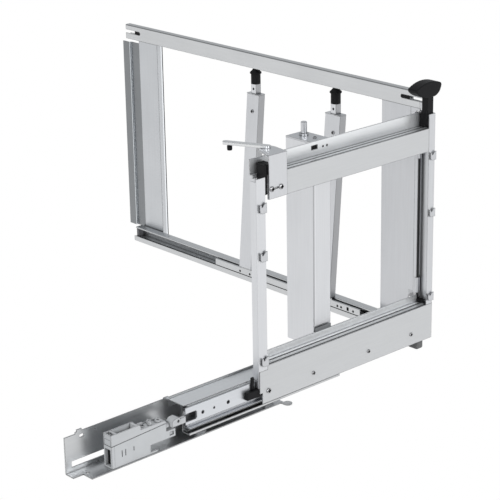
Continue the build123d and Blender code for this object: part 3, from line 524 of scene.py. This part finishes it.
def makeOuterMember():
    member = outerMember
    back, lip, front, sheet = member["back"], member["lip"], member["topFront"], member["sheet"]
    (start, end), (low, high) = member["y"], member["z"]
    lowLip, topLip = low + member["lowLip"], high - member["topLip"]
    shape = bmesh.new()
    addRun(shape, [[(back, low), (lip, low), (lip, lowLip), (lip - sheet, lowLip),
                    (lip - sheet, low + sheet), (back + sheet, low + sheet),
                    (back + sheet, high - sheet), (front - sheet, high - sheet),
                    (front - sheet, topLip), (front, topLip), (front, high), (back, high)]],
           start, end - start)
    for foot in member["feet"]:
        addBlock(shape, (back, back + member["footWidth"]), (foot, foot + member["footLength"]),
                 (member["floor"], low))
    finished(shape, "outerMember", "zincSheet", "base", ("slide_outer",),
             member["round"], 1)


rearStrips = {
    "barTongues": {"finish": "frameSteel", "slot": "frame_steel", "y": (575.0, 577.0),
                   "plates": (((7.0, 16.0), (455.0, 467.0)), ((7.0, 16.0), (474.0, 478.7)),
                              ((-14.0, 8.0), (449.6, 455.0)), ((-14.0, -3.4), (441.5, 446.4)),
                              ((-14.0, 0.0), (446.4, 449.6)), ((-14.0, 0.0), (92.6, 106.0)))},
    "uprightEdge": {"finish": "frameSteel", "slot": "frame_steel", "y": (574.9, 575.9),
                    "plates": (((-2.4, 5.4), (101.5, 403.5)),)},
    "barLiner": {"finish": "darkPlastic", "slot": "dark_plastic", "y": (577.2, 578.2),
                 "plates": (((-798.0, -775.0), (465.0, 476.0)), ((-42.0, -20.0), (465.0, 476.0)))},
}


# Plates at the hinge, the right upright's edge, and dark plates behind the top bar's slots as painted
# shade
def makeRearStrips():
    for name, strip in rearStrips.items():
        shape = bmesh.new()
        for x, z in strip["plates"]:
            addBlock(shape, x, strip["y"], z)
        finished(shape, name, strip["finish"], "rear")


# Ends in X, then the low and high corner in Y and Z
leverBlock = {"leg": ((15.0, 33.0), ((171.6, 390.0), (178.0, 441.0))),
              "seat": ((10.0, 15.0), ((175.0, 422.6), (192.0, 441.0))),
              "pad": ((15.0, 35.0), ((178.0, 424.6), (192.0, 441.0))), "round": 0.8}


# Dark plastic block that carries the lever, its black also painted shade at the channel's left end
def makeLeverBlock():
    shape = bmesh.new()
    for part in ("leg", "seat", "pad"):
        addSlab(shape, *leverBlock[part])
    finished(shape, "leverBlock", "darkPlastic", "front", ("lever_block",),
             leverBlock["round"])


sideProfile = {"flange": (-833.0, -811.0), "lap": -766.0, "front": 573.0, "back": 577.0, "sheet": 1.5,
               "z": (44.0, 449.0)}


# Side profile in the darker steel: painted shade, with a painted highlight on its step face
def makeSideProfile():
    (left, step), lap = sideProfile["flange"], sideProfile["lap"]
    front, back, sheet = sideProfile["front"], sideProfile["back"], sideProfile["sheet"]
    low, high = sideProfile["z"]
    shape = bmesh.new()
    addFlat(shape, [[(left, front), (step, front), (step, back), (lap, back), (lap, back + sheet),
                     (step - sheet, back + sheet), (step - sheet, front + sheet),
                     (left, front + sheet)]], low, high - low)
    finished(shape, "sideProfile", "shadeSteel", "rear", ("rear_side_profile",))


leftUpright = {"x": (-783.0, -724.0), "y": (575.0, 590.0), "z": (29.0, 455.0), "sheet": 2.0}


def makeLeftUpright():
    (left, right), (front, back), (low, high) = leftUpright["x"], leftUpright["y"], leftUpright["z"]
    sheet = leftUpright["sheet"]
    shape = bmesh.new()
    addFlat(shape, [[(left, front), (right, front), (right, back), (right - sheet, back),
                     (right - sheet, front + sheet), (left, front + sheet)]], low, high - low)
    finished(shape, "leftUpright", "uprightSteel", "rear", ("rear_left_upright",))


columnFoot = {"x": (5.1, 6.4), "span": ((314.0, 98.0), (351.5, 107.5))}


# Dark plate at the foot of the column, over the channel's wall, as painted shade at the column's base
def makeColumnFootShade():
    shape = bmesh.new()
    addSlab(shape, columnFoot["x"], columnFoot["span"])
    finished(shape, "columnFoot", "shadeSteel", "front", ("column_foot",))


channel = {"y": (163.0, 575.0), "skirtY": (178.0, 570.0), "skirtX": (33.0, 35.0),
           "skirtZ": (382.0, 424.5), "innerSkirt": 408.5, "ledge": 422.5, "wallFace": 5.0,
           "wallTop": 448.0, "groove": 15.0, "strip": (20.0, 28.5), "depth": 4.0, "rise": 1.0,
           "sheet": 2.0, "notch": ((304.5, 433.8), (319.5, 441.4)),
           "holes": ((332.5, 435.5), (342.0, 435.5)), "holeRadius": 1.9, "holeSides": 14,
           "holeShadePlate": ((300.0, 432.0), (346.0, 443.0))}


# Top channel with its groove, raised strip and two skirts
def makeTopChannel():
    sheet, ledge, skirtBack = channel["sheet"], channel["ledge"], channel["skirtX"][0]
    wallFace, groove = channel["wallFace"], channel["groove"]
    floor, crest = ledge - channel["depth"], ledge + channel["rise"]
    stripBack, stripFront = channel["strip"]
    start, end = channel["y"]
    (skirtStart, skirtEnd), (skirtLow, skirtHigh) = channel["skirtY"], channel["skirtZ"]
    step = [(groove, ledge), (wallFace, ledge), (wallFace, ledge - sheet),
            (groove - sheet, ledge - sheet), (groove - sheet, floor - sheet)]
    shape = bmesh.new()
    addRun(shape, [[(groove, floor - sheet)] + step], start, skirtStart - start)
    addRun(shape, [[(skirtBack, floor), (stripFront, floor), (stripFront, crest), (stripBack, crest),
                    (stripBack, floor), (groove, floor)] + step +
                   [(stripBack + sheet, floor - sheet), (stripBack + sheet, crest - sheet),
                    (stripFront - sheet, crest - sheet), (stripFront - sheet, floor - sheet),
                    (skirtBack, floor - sheet)]], skirtStart, end - skirtStart)
    addRun(shape, [corners((skirtBack - sheet, channel["innerSkirt"]), (skirtBack, floor - sheet))],
           skirtStart, end - skirtStart)
    addSlab(shape, channel["skirtX"], ((skirtStart, skirtLow), (skirtEnd, skirtHigh)))
    holes = [ring(place, channel["holeRadius"], channel["holeSides"]) for place in channel["holes"]]
    addSide(shape, [corners((start, ledge), (end, channel["wallTop"])), corners(*channel["notch"])]
            + holes, wallFace, sheet)
    finished(shape, "topChannel", "plateSteel", "front", ("top_channel",))


# Dark plate behind the holes of the channel's wall, as painted shade seen through them
def makeChannelShadePlate():
    face = channel["wallFace"]
    shape = bmesh.new()
    addSlab(shape, (face - channel["sheet"], face), channel["holeShadePlate"])
    finished(shape, "channelLiner", "darkPlastic", "front")


# What both halves of the damper share
damper = {"x": (0.0, 20.0), "y": (-156.0, -42.0), "seam": (41.0, 46.0)}

damperCap = {
    "wall": 2.2, "seamGap": 0.5, "step": -95.0, "deck": 52.0, "deckSheet": 1.0, "top": 61.0,
    "endDrop": 2.0, "endRun": 6.0, "topDrop": 2.0, "topRun": 3.0, "pocketDepth": 9.0, "round": 0.35,
    "crossWalls": ((-156.0, -153.8), (-147.0, -142.0), (-104.0, -98.0)), "crossDrop": 0.4,
    "boreSides": 12,
    # Place, radius, bore and height of each boss, then X, Y and height of each rib
    "bosses": (((13.0, -54.0), 5.5, 2.4, 4.0), ((6.5, -68.0), 4.0, 1.8, 5.0)),
    "ribs": (((2.2, 5.2), (-91.0, -79.0), 4.5), ((11.0, 17.0), (-75.0, -70.0), 5.5),
             ((2.0, 5.0), (-57.0, -44.0), 2.5)),
}


# Upper half of the damper, open from above, with its bosses and ribs
def makeDamperCap():
    cap = damperCap
    (back, front), (left, right), seam = damper["x"], damper["y"], damper["seam"]
    wall, deck, top, step = cap["wall"], cap["deck"], cap["top"], cap["step"]
    floor, pocket, bevel = deck - cap["deckSheet"], top - cap["pocketDepth"], right - cap["endRun"]
    low, high = back + wall, front - wall
    under = [(left, seam[0] + cap["seamGap"]), (right, seam[1] + cap["seamGap"]),
             (right, deck - cap["endDrop"])]
    outline = under + [(bevel, deck), (step, deck), (step, top - cap["topDrop"]),
                       (step - cap["topRun"], top), (left, top)]
    core = under + [(bevel, floor), (step, floor), (step, pocket), (left, pocket)]
    shape = bmesh.new()
    addSide(shape, [outline], back, wall)
    addSide(shape, [outline], high, wall)
    addSide(shape, [core], low, high - low)
    for start, end in cap["crossWalls"]:
        addSlab(shape, (low, high), ((start, pocket), (end, top - cap["crossDrop"])))
    for place, radius, bore, height in cap["bosses"]:
        addFlat(shape, [ring(place, radius), ring(place, bore, cap["boreSides"])], floor, height)
    for x, (start, end), height in cap["ribs"]:
        addSlab(shape, x, ((start, floor), (end, floor + height)))
    finished(shape, "damperCap", "greyPlastic", "base", ("damper_cap",),
             cap["round"], 1)


housing = {
    "floor": 2.0, "step": (-76.0, 18.0), "box": (-23.0, 32.0), "end": 6.0,
    "channelX": (7.7, 18.3), "channelY": -68.0, "channelZ": (36.2, 43.8),
    "mouth": ((3.5, 6.0), (16.5, 35.0)), "mouthShadeGap": 0.2, "mouthShadeBack": 0.8, "mouthShadeSheet": 0.6,
    "lipDepth": 4.0, "lip": ((-76.0, 2.0), (-61.5, 6.0)),
    "pressed": (((-135.3, 18.0), (-134.3, 29.0)), ((-128.2, 18.0), (-127.2, 29.0)),
                ((-111.1, 21.0), (-110.1, 28.0)), ((-35.0, 22.0), (-27.0, 28.0))),
}


# Lower half of the damper with the catch's channel, an open end and pressed marks
def makeHousing():
    (back, front), (left, right), seam = damper["x"], damper["y"], damper["seam"]
    low, start = housing["floor"], left + housing["end"]
    slope = (seam[1] - seam[0]) / (right - left)
    (stepY, stepZ), (boxY, boxZ) = housing["step"], housing["box"]
    below = [(start, low), (stepY, low), (stepY, stepZ), (boxY, stepZ), (boxY, boxZ), (right, boxZ)]
    above = [(right, seam[1]), (start, seam[0] + slope * housing["end"])]
    (inner, outer), (floor, roof) = housing["channelX"], housing["channelZ"]
    depth = housing["channelY"]
    channelEdge = [(right, floor), (depth, floor), (depth, roof), (right, roof)]
    shape = bmesh.new()
    addSide(shape, [below + above], back, inner - back)
    addSide(shape, [below + channelEdge + above], inner, outer - inner)
    addSide(shape, [below + above] + [corners(*mark) for mark in housing["pressed"]], outer,
            front - outer)
    addRun(shape, [corners((back, low), (front, seam[0])), corners(*housing["mouth"])], left,
           housing["end"])
    addSlab(shape, (front - housing["lipDepth"], front), housing["lip"])
    finished(shape, "damperHousing", "greyPlastic", "base", ("damper_housing",))


# Dark plate inside the housing's mouth, as painted shade
def makeDamperMouthShade():
    (low, foot), (high, roof) = housing["mouth"]
    gap, back = housing["mouthShadeGap"], damper["y"][0] + housing["end"] - housing["mouthShadeBack"]
    shape = bmesh.new()
    addRun(shape, [corners((low + gap, foot + gap), (high - gap, roof - gap))], back,
           housing["mouthShadeSheet"])
    finished(shape, "damperPort", "darkPlastic", "base")


upperBlock = {"x": (-3.0, 33.0), "y": (575.0, 584.5), "z": (404.0, 449.0), "rod": (4.0, 579.0),
              "bore": 3.1, "boreTop": 440.4, "shoulder": 446.0, "headLeft": 10.5,
              "innerX": (-1.0, 31.0), "innerFront": 562.0, "under": 416.4,
              "lugX": (-3.0, 5.0), "lugFront": 566.0, "lugTop": 441.0}


# Upper corner block, bored for the rod, its lug kept below the swinging bar
def makeUpperBlock():
    block = upperBlock
    (left, right), (front, back), (low, high) = block["x"], block["y"], block["z"]
    boreTop, shoulder, under = block["boreTop"], block["shoulder"], block["under"]
    shape = bmesh.new()
    addFlat(shape, [corners((left, front), (right, back)), ring(block["rod"], block["bore"])], low,
            boreTop - low)
    addBlock(shape, (left, right), (front, back), (boreTop, shoulder))
    addBlock(shape, (block["headLeft"], right), (front, back), (shoulder, high))
    addBlock(shape, block["innerX"], (block["innerFront"], front), (low, under))
    addBlock(shape, block["lugX"], (block["lugFront"], front), (under, block["lugTop"]))
    finished(shape, "upperBlock", "darkPlastic", "front", ("corner_block_top",))


catch = {"x": (10.0, 26.0), "base": [(-34.0, 37.5), (-15.5, 37.5)], "round": 0.8, "lobeSteps": 6,
         "lobes": (((-15.5, 46.0), (-18.5, 50.5), (-23.0, 51.0)),
                   ((-26.0, 51.0), (-30.5, 49.5), (-34.0, 45.5))),
         "eye": (-21.0, 45.0), "eyeRadius": 2.4, "eyeFloor": 2.2, "eyeDepth": 3.0, "eyeSides": 16,
         "fingerX": (20.0, 26.0), "finger": ((-15.6, 37.5), (-5.0, 48.5)),
         "tongueX": (8.0, 18.0), "tongue": ((-66.0, 36.5), (-33.9, 43.5))}


# Catch with two rounded lobes over its tongue, and a blind eye from both sides
def makeCatch():
    (low, high), depth, sides = catch["x"], catch["eyeDepth"], catch["eyeSides"]
    outline = catch["base"] + [point for lobe in catch["lobes"]
                               for point in arcThrough(*lobe, catch["lobeSteps"])]
    shape = bmesh.new()
    addSide(shape, [outline, ring(catch["eye"], catch["eyeRadius"], sides)], low, high - low)
    addSide(shape, [ring(catch["eye"], catch["eyeFloor"], sides)], low + depth, high - low - 2 * depth)
    addSlab(shape, catch["fingerX"], catch["finger"])
    addSlab(shape, catch["tongueX"], catch["tongue"])
    finished(shape, "damperCatch", "greyPlastic", "catch", ("damper_catch",),
             catch["round"])


# Each screw's place and the radius of its head, and turns in radians
screws = {
    "plate": (((35.0, 173.0, 42.0), 4.5), ((35.0, 280.0, 42.0), 3.6), ((35.0, 418.0, 42.0), 3.6),
              ((35.0, 530.0, 42.0), 3.6)),
    "lever": (((37.0, 184.8, 399.0), 4.6), ((37.0, 205.5, 399.0), 4.6)),
    "damper": (((10.0, -149.5, 59.2), 3.0), ((10.0, -84.0, 51.2), 3.2)), "damperTurn": 0.4,
    "postX": (-430.0, -206.0), "postOut": 0.9, "postSize": 3.6,
    "postLean": (29.5, 376.0),  # how far a carriage post leans over its height
    "columnSize": 3.6, "columnTurn": 0.6,
}


def boxOf(node):
    low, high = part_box(node)
    return [c / mm for c in low], [c / mm for c in high]


def makeScrews():
    pattern = screwPattern()
    quarter = math.pi / 2
    low, high = boxOf("post_screws")
    postPoints = [((x, (low[1] + high[1]) / 2 + screws["postOut"], (low[2] + high[2]) / 2),
                   screws["postSize"]) for x in screws["postX"]]
    lean = math.atan2(*screws["postLean"])
    low, high = boxOf("column_screw")
    columnPlace = ((low[0] + high[0]) / 2, (low[1] + high[1]) / 2, low[2])
    for name, points, turn, body, node in (
            ("plateScrews", screws["plate"], (0, quarter, 0), "front", "plate_screws"),
            ("leverScrews", screws["lever"], (0, quarter, 0), "front", "lever_screws"),
            ("damperScrews", screws["damper"], (0, 0, screws["damperTurn"]), "base", "damper_screws"),
            ("postScrews", postPoints, (quarter - lean, 0, 0), "carriage", "post_screws"),
            ("columnScrew", ((columnPlace, screws["columnSize"]),), (0, 0, screws["columnTurn"]),
             "front", "column_screw")):
        copiesAt(name, pattern, points, turn, "screwSteel", body, (node,))
    bpy.data.objects.remove(pattern)


hook = {"width": 15.5, "height": 17.0, "face": 2.2, "sheet": 1.5, "round": 5.0, "chamfer": 1.5,
        "tip": 3.5, "throat": (4.0, 6.0), "throatLow": 11.0, "toeDrop": 2.0, "rootHigh": 10.0}


# Hook pressed out of a post's web, its foot at the origin
def hookPattern():
    wide, tall, face, sheet = hook["width"], hook["height"], hook["face"], hook["sheet"]
    bend, chamfer, toe = hook["round"], hook["chamfer"], tall - hook["toeDrop"]
    (left, right), low = hook["throat"], hook["throatLow"]
    shape = bmesh.new()
    addSide(shape, [[(0, bend), (chamfer, chamfer), (bend, 0), (wide, 0), (wide, tall),
                     (wide - hook["tip"], tall), (right, low), (left, low), (left, toe), (0, toe)]],
            face, sheet)
    addSlab(shape, (0, face), ((bend, 0), (wide, sheet)))
    addSlab(shape, (0, face), ((wide - sheet, sheet), (wide, hook["rootHigh"])))
    return bpy.data.objects.new("hookPattern", meshOf(shape, "hookPattern"))


posts = {
    "sheet": 1.5, "face": 35.0, "round": 0.3,
    "slot": ((-1.3, 2.0), (-0.2, 15.0)),  # beside each hook, from its left end and foot
    "left": {"finish": "columnSteel", "y": (151.5, 171.6), "z": (81.5, 421.5), "back": 20.0,
             "flangeZ": (66.0, 416.5), "tongueBack": 28.5, "tongueLow": 50.5,
             "hooks": (90.0, 278.0, 362.0), "hookLeft": 155.9, "size": 1.0},
    "right": {"finish": "postSteel", "y": (570.0, 586.0), "z": (89.0, 450.0), "back": 1.0,
              "footX": (8.0, 33.0), "footLow": 40.0,
              "hooks": (96.0, 258.0, 365.0), "hookLeft": 572.0, "size": 0.92},
}


# Web of a post with a slot beside each hook
def postWeb(post):
    (start, end), (low, high), left = post["y"], post["z"], post["hookLeft"]
    (slotLeft, slotLow), (slotRight, slotHigh) = posts["slot"]
    slots = [corners((left + slotLeft, foot + slotLow), (left + slotRight, foot + slotHigh))
             for foot in post["hooks"]]
    shape = bmesh.new()
    addSide(shape, [corners((start, low), (end, high))] + slots, posts["face"] - posts["sheet"],
            posts["sheet"])
    return shape


# Left post, with a flange along each edge and a tongue below
def leftPost(post, sheet, web):
    (start, end), (flangeLow, flangeHigh) = post["y"], post["flangeZ"]
    shape = postWeb(post)
    for edge in (start, end - sheet):
        addBlock(shape, (post["back"], web), (edge, edge + sheet), (flangeLow, flangeHigh))
    addBlock(shape, (post["tongueBack"], web), (start, start + sheet), (post["tongueLow"], flangeLow))
    return shape


# Right post, with one flange and a foot
def rightPost(post, sheet, web):
    edge, (low, high) = post["y"][1], post["z"]
    shape = postWeb(post)
    addBlock(shape, (post["back"], web), (edge - sheet, edge), (low, high))
    addBlock(shape, post["footX"], (edge - sheet, edge), (post["footLow"], low))
    return shape


def makePosts():
    pattern = hookPattern()
    sheet, face = posts["sheet"], posts["face"]
    for side, build in (("left", leftPost), ("right", rightPost)):
        post = posts[side]
        finished(build(post, sheet, face - sheet), side + "Post", post["finish"], "front",
                 (side + "_post",), posts["round"], 1)
        places = [((face, post["hookLeft"], foot), post["size"]) for foot in post["hooks"]]
        copiesAt(side + "Hooks", pattern, places, (0, 0, 0), "frameSteel", "front")
    bpy.data.objects.remove(pattern)


handle = {"x": (10.0, 33.0), "round": 1.8, "steps": 3,
          "arcs": (((538.8, 498.0), (571.0, 508.0), (602.4, 502.6), 12),
                   ((603.8, 498.5), (598.0, 485.8), (582.0, 479.6), 7),
                   ((574.0, 479.0), (556.0, 482.4), (540.2, 492.4), 7))}


def makeHandle():
    low, high = handle["x"]
    shape = bmesh.new()
    addSide(shape, [[point for arc in handle["arcs"] for point in arcThrough(*arc)]], low, high - low)
    finished(shape, "pullHandle", "darkPlastic", "front", ("pull_handle",),
             handle["round"], handle["steps"])


cornerFoot = {"x": (5.0, 31.0), "y": (552.0, 569.0), "z": (3.0, 21.0), "round": 4.0, "steps": 3}


def makeCornerFoot():
    shape = bmesh.new()
    addBlock(shape, cornerFoot["x"], cornerFoot["y"], cornerFoot["z"])
    finished(shape, "cornerFoot", "footPlastic", "front", ("corner_foot",),
             cornerFoot["round"], cornerFoot["steps"])


arm = {"root": (2.0, 208.0), "tip": (-66.0, 177.0), "radius": 5.5, "z": (457.0, 462.0),
       "endSteps": 10, "round": 1.6}


def makeArm():
    root, tip = Vector(arm["root"]), Vector(arm["tip"])
    along = (tip - root).normalized()
    start = math.atan2(along.y, along.x)
    low, high = arm["z"]
    outline = []
    for centre, first in ((tip, start - math.pi / 2), (root, start + math.pi / 2)):
        outline += arcPoints(centre, arm["radius"], first, math.pi, arm["endSteps"])
    shape = bmesh.new()
    addFlat(shape, [outline], low, high - low)
    finished(shape, "leverArm", "brightSteel", "front", ("lever_arm",), arm["round"])


slideWeb = {
    "y": (-5.0, 355.0), "x": (23.0, 25.0), "z": (31.5, 62.0), "notch": (20.0, 37.0, 51.5),
    "notchRound": 2.5, "holes": ((33.0, 3.0), (58.0, 2.0), (89.5, 3.2)), "holeZ": 44.0,
    "inner": {"y": (3.0, 355.0), "back": 12.2, "z": (21.9, 51.1), "step": 17.5, "sheet": 1.5},
}


def notchedOutline(left, low, high):
    edge, floor, roof = slideWeb["notch"]
    bend, right = slideWeb["notchRound"], slideWeb["y"][1]
    return [(left, low), (right, low), (right, high), (left, high), (left, roof),
            (edge - bend, roof), (edge, roof - bend), (edge, floor + bend), (edge - bend, floor),
            (left, floor)]


def webHoles():
    return [ring((y, slideWeb["holeZ"]), radius) for y, radius in slideWeb["holes"]]


def makeCarrierWeb():
    (back, face), (low, high) = slideWeb["x"], slideWeb["z"]
    shape = bmesh.new()
    addSide(shape, [notchedOutline(slideWeb["y"][0], low, high)] + webHoles(), back, face - back)
    finished(shape, "carrierWeb", "webSteel", "front", ("carrier_plate",))


# Slide's inner member behind the web, with the same notch and holes
def makeInnerMember():
    (back, face), low, inner = slideWeb["x"], slideWeb["z"][0], slideWeb["inner"]
    (start, end), (floor, roof) = inner["y"], inner["z"]
    rear, step, sheet = inner["back"], inner["step"], inner["sheet"]
    shape = bmesh.new()
    addSide(shape, [notchedOutline(start, low, roof)] + webHoles(), back - sheet, sheet)
    for first, second in (((rear, roof - sheet), (back - sheet, roof)),
                          ((step, low - sheet), (face, low)),
                          ((step, floor + sheet), (step + sheet, low - sheet)),
                          ((rear, floor), (face, floor + sheet))):
        addRun(shape, [corners(first, second)], start, end - start)
    finished(shape, "innerMember", "webSteel", "front", ("slide_inner",))


cover = {"x": (-20.0, 18.0), "y": (-3.0, 240.0), "z": (50.0, 64.0), "sheet": 1.5,
         "access": ((0.0, 190.0), 6.0),
         "slotAt": (196.0, 58.7), "slotRadius": 2.75, "slotReach": 1.75, "slotSides": 16}


# Cover over the slide, with an access hole on top and a screw's slot in its flange
def makeCover():
    (back, front), (left, right), (low, top) = cover["x"], cover["y"], cover["z"]
    sheet, radius, sides = cover["sheet"], cover["slotRadius"], cover["slotSides"]
    shape = bmesh.new()
    addFlat(shape, [corners((back, left), (front, right)), ring(*cover["access"])], top - sheet, sheet)
    middle, height = cover["slotAt"]
    turns = [math.pi * (2 * k + 1) / sides for k in range(sides)]
    slot = [(middle + math.copysign(cover["slotReach"], math.cos(turn)) + radius * math.cos(turn),
             height + radius * math.sin(turn)) for turn in turns]
    addSide(shape, [corners((left, low), (right, top - sheet)), slot], back, sheet)
    finished(shape, "slideCover", "coverSteel", "base", ("slide_cover",))


makeEndBlock()
makeOuterMember()
makeRearStrips()
makeLeverBlock()
makeSideProfile()
makeLeftUpright()
makeColumnFootShade()
makeTopChannel()
makeChannelShadePlate()
print("outer member, channel and rear frame pieces made")
makeDamperCap()
makeHousing()
makeDamperMouthShade()
makeUpperBlock()
makeCatch()
print("damper, catch and upper block made")
makeScrews()
makePosts()
print("screws, posts and hooks made")
makeHandle()
makeCornerFoot()
makeArm()
makeCarrierWeb()
makeInnerMember()
makeCover()
print("handle, foot, arm, slide pieces and cover made")


studio = {
    "floorSize": 24.0,
    "floorColour": (0.90, 0.90, 0.90, 1),
    "glowColour": (1, 1, 1, 1),
    "cameraWhite": 1.0,
    "worldColour": (0.80, 0.82, 0.84, 1),
    "worldStrength": 0.72,
}


# Paper that the camera and the steel's reflections see as white
def paperMaterial():
    made, shaderNodes, links, shader = newMaterial("studioPaper")
    output = shaderNodes["Material Output"]
    shaderNodes.remove(shader)
    paper = shaderNodes.new("ShaderNodeBsdfDiffuse")
    paper.inputs["Color"].default_value = studio["floorColour"]
    glow = shaderNodes.new("ShaderNodeEmission")
    glow.inputs["Color"].default_value = studio["glowColour"]
    lightPath = shaderNodes.new("ShaderNodeLightPath")
    share = shaderNodes.new("ShaderNodeMath")
    share.operation = "MULTIPLY"
    share.inputs[1].default_value = studio["cameraWhite"]
    either = shaderNodes.new("ShaderNodeMath")
    either.operation = "MAXIMUM"
    mix = shaderNodes.new("ShaderNodeMixShader")
    links.new(lightPath.outputs["Is Camera Ray"], either.inputs[0])
    links.new(lightPath.outputs["Is Glossy Ray"], either.inputs[1])
    links.new(either.outputs[0], share.inputs[0])
    links.new(share.outputs[0], mix.inputs["Fac"])
    links.new(paper.outputs["BSDF"], mix.inputs[1])
    links.new(glow.outputs["Emission"], mix.inputs[2])
    links.new(mix.outputs["Shader"], output.inputs["Surface"])
    return made


def makeStage():
    bpy.ops.mesh.primitive_plane_add(size=studio["floorSize"], location=(0, 0, 0))
    floor = bpy.context.object
    floor.name = "studioFloor"
    floor.data.materials.append(paperMaterial())


def makeAir():
    world = bpy.data.worlds.new("studioAir")
    world.use_nodes = True
    air = world.node_tree.nodes["Background"]
    air.inputs["Color"].default_value = studio["worldColour"]
    air.inputs["Strength"].default_value = studio["worldStrength"]
    bpy.context.scene.world = world


lamps = {
    "keyLamp": {"place": (1.2, -2.6, 1.6), "aim": (-0.1, 0.2, 0.2), "size": 1.8, "watts": 40},
    "sideLamp": {"place": (3.2, 0.9, 1.3), "aim": (0.0, 0.3, 0.25), "size": 1.6, "watts": 44},
}


def makeLamps():
    for name, lamp in lamps.items():
        lampData = bpy.data.lights.new(name, "AREA")
        lampData.shape = "SQUARE"
        lampData.size = lamp["size"]
        lampData.energy = lamp["watts"]
        holder = linkedObject(name, lampData)
        holder.location = lamp["place"]
        sight = Vector(lamp["aim"]) - Vector(lamp["place"])
        holder.rotation_euler = sight.to_track_quat("-Z", "Y").to_euler()


camera = {
    "place": (2.05127, -1.69784, 1.26690),
    "turn": (70.5573, 0.9336, 47.3905),
    "lens": 126.94,
    "sensor": 36,
    "farthest": 60,
}


def makeCamera():
    cameraData = bpy.data.cameras.new("photoCamera")
    cameraData.lens = camera["lens"]
    cameraData.sensor_width = camera["sensor"]
    cameraData.sensor_fit = "HORIZONTAL"
    cameraData.clip_end = camera["farthest"]
    viewer = linkedObject("photoCamera", cameraData)
    viewer.location = camera["place"]
    viewer.rotation_euler = [math.radians(angle) for angle in camera["turn"]]
    bpy.context.scene.camera = viewer


makeStage()
makeAir()
makeLamps()
makeCamera()
bpy.context.scene.view_settings.view_transform = "Standard"
print("stage, lamps and camera placed")
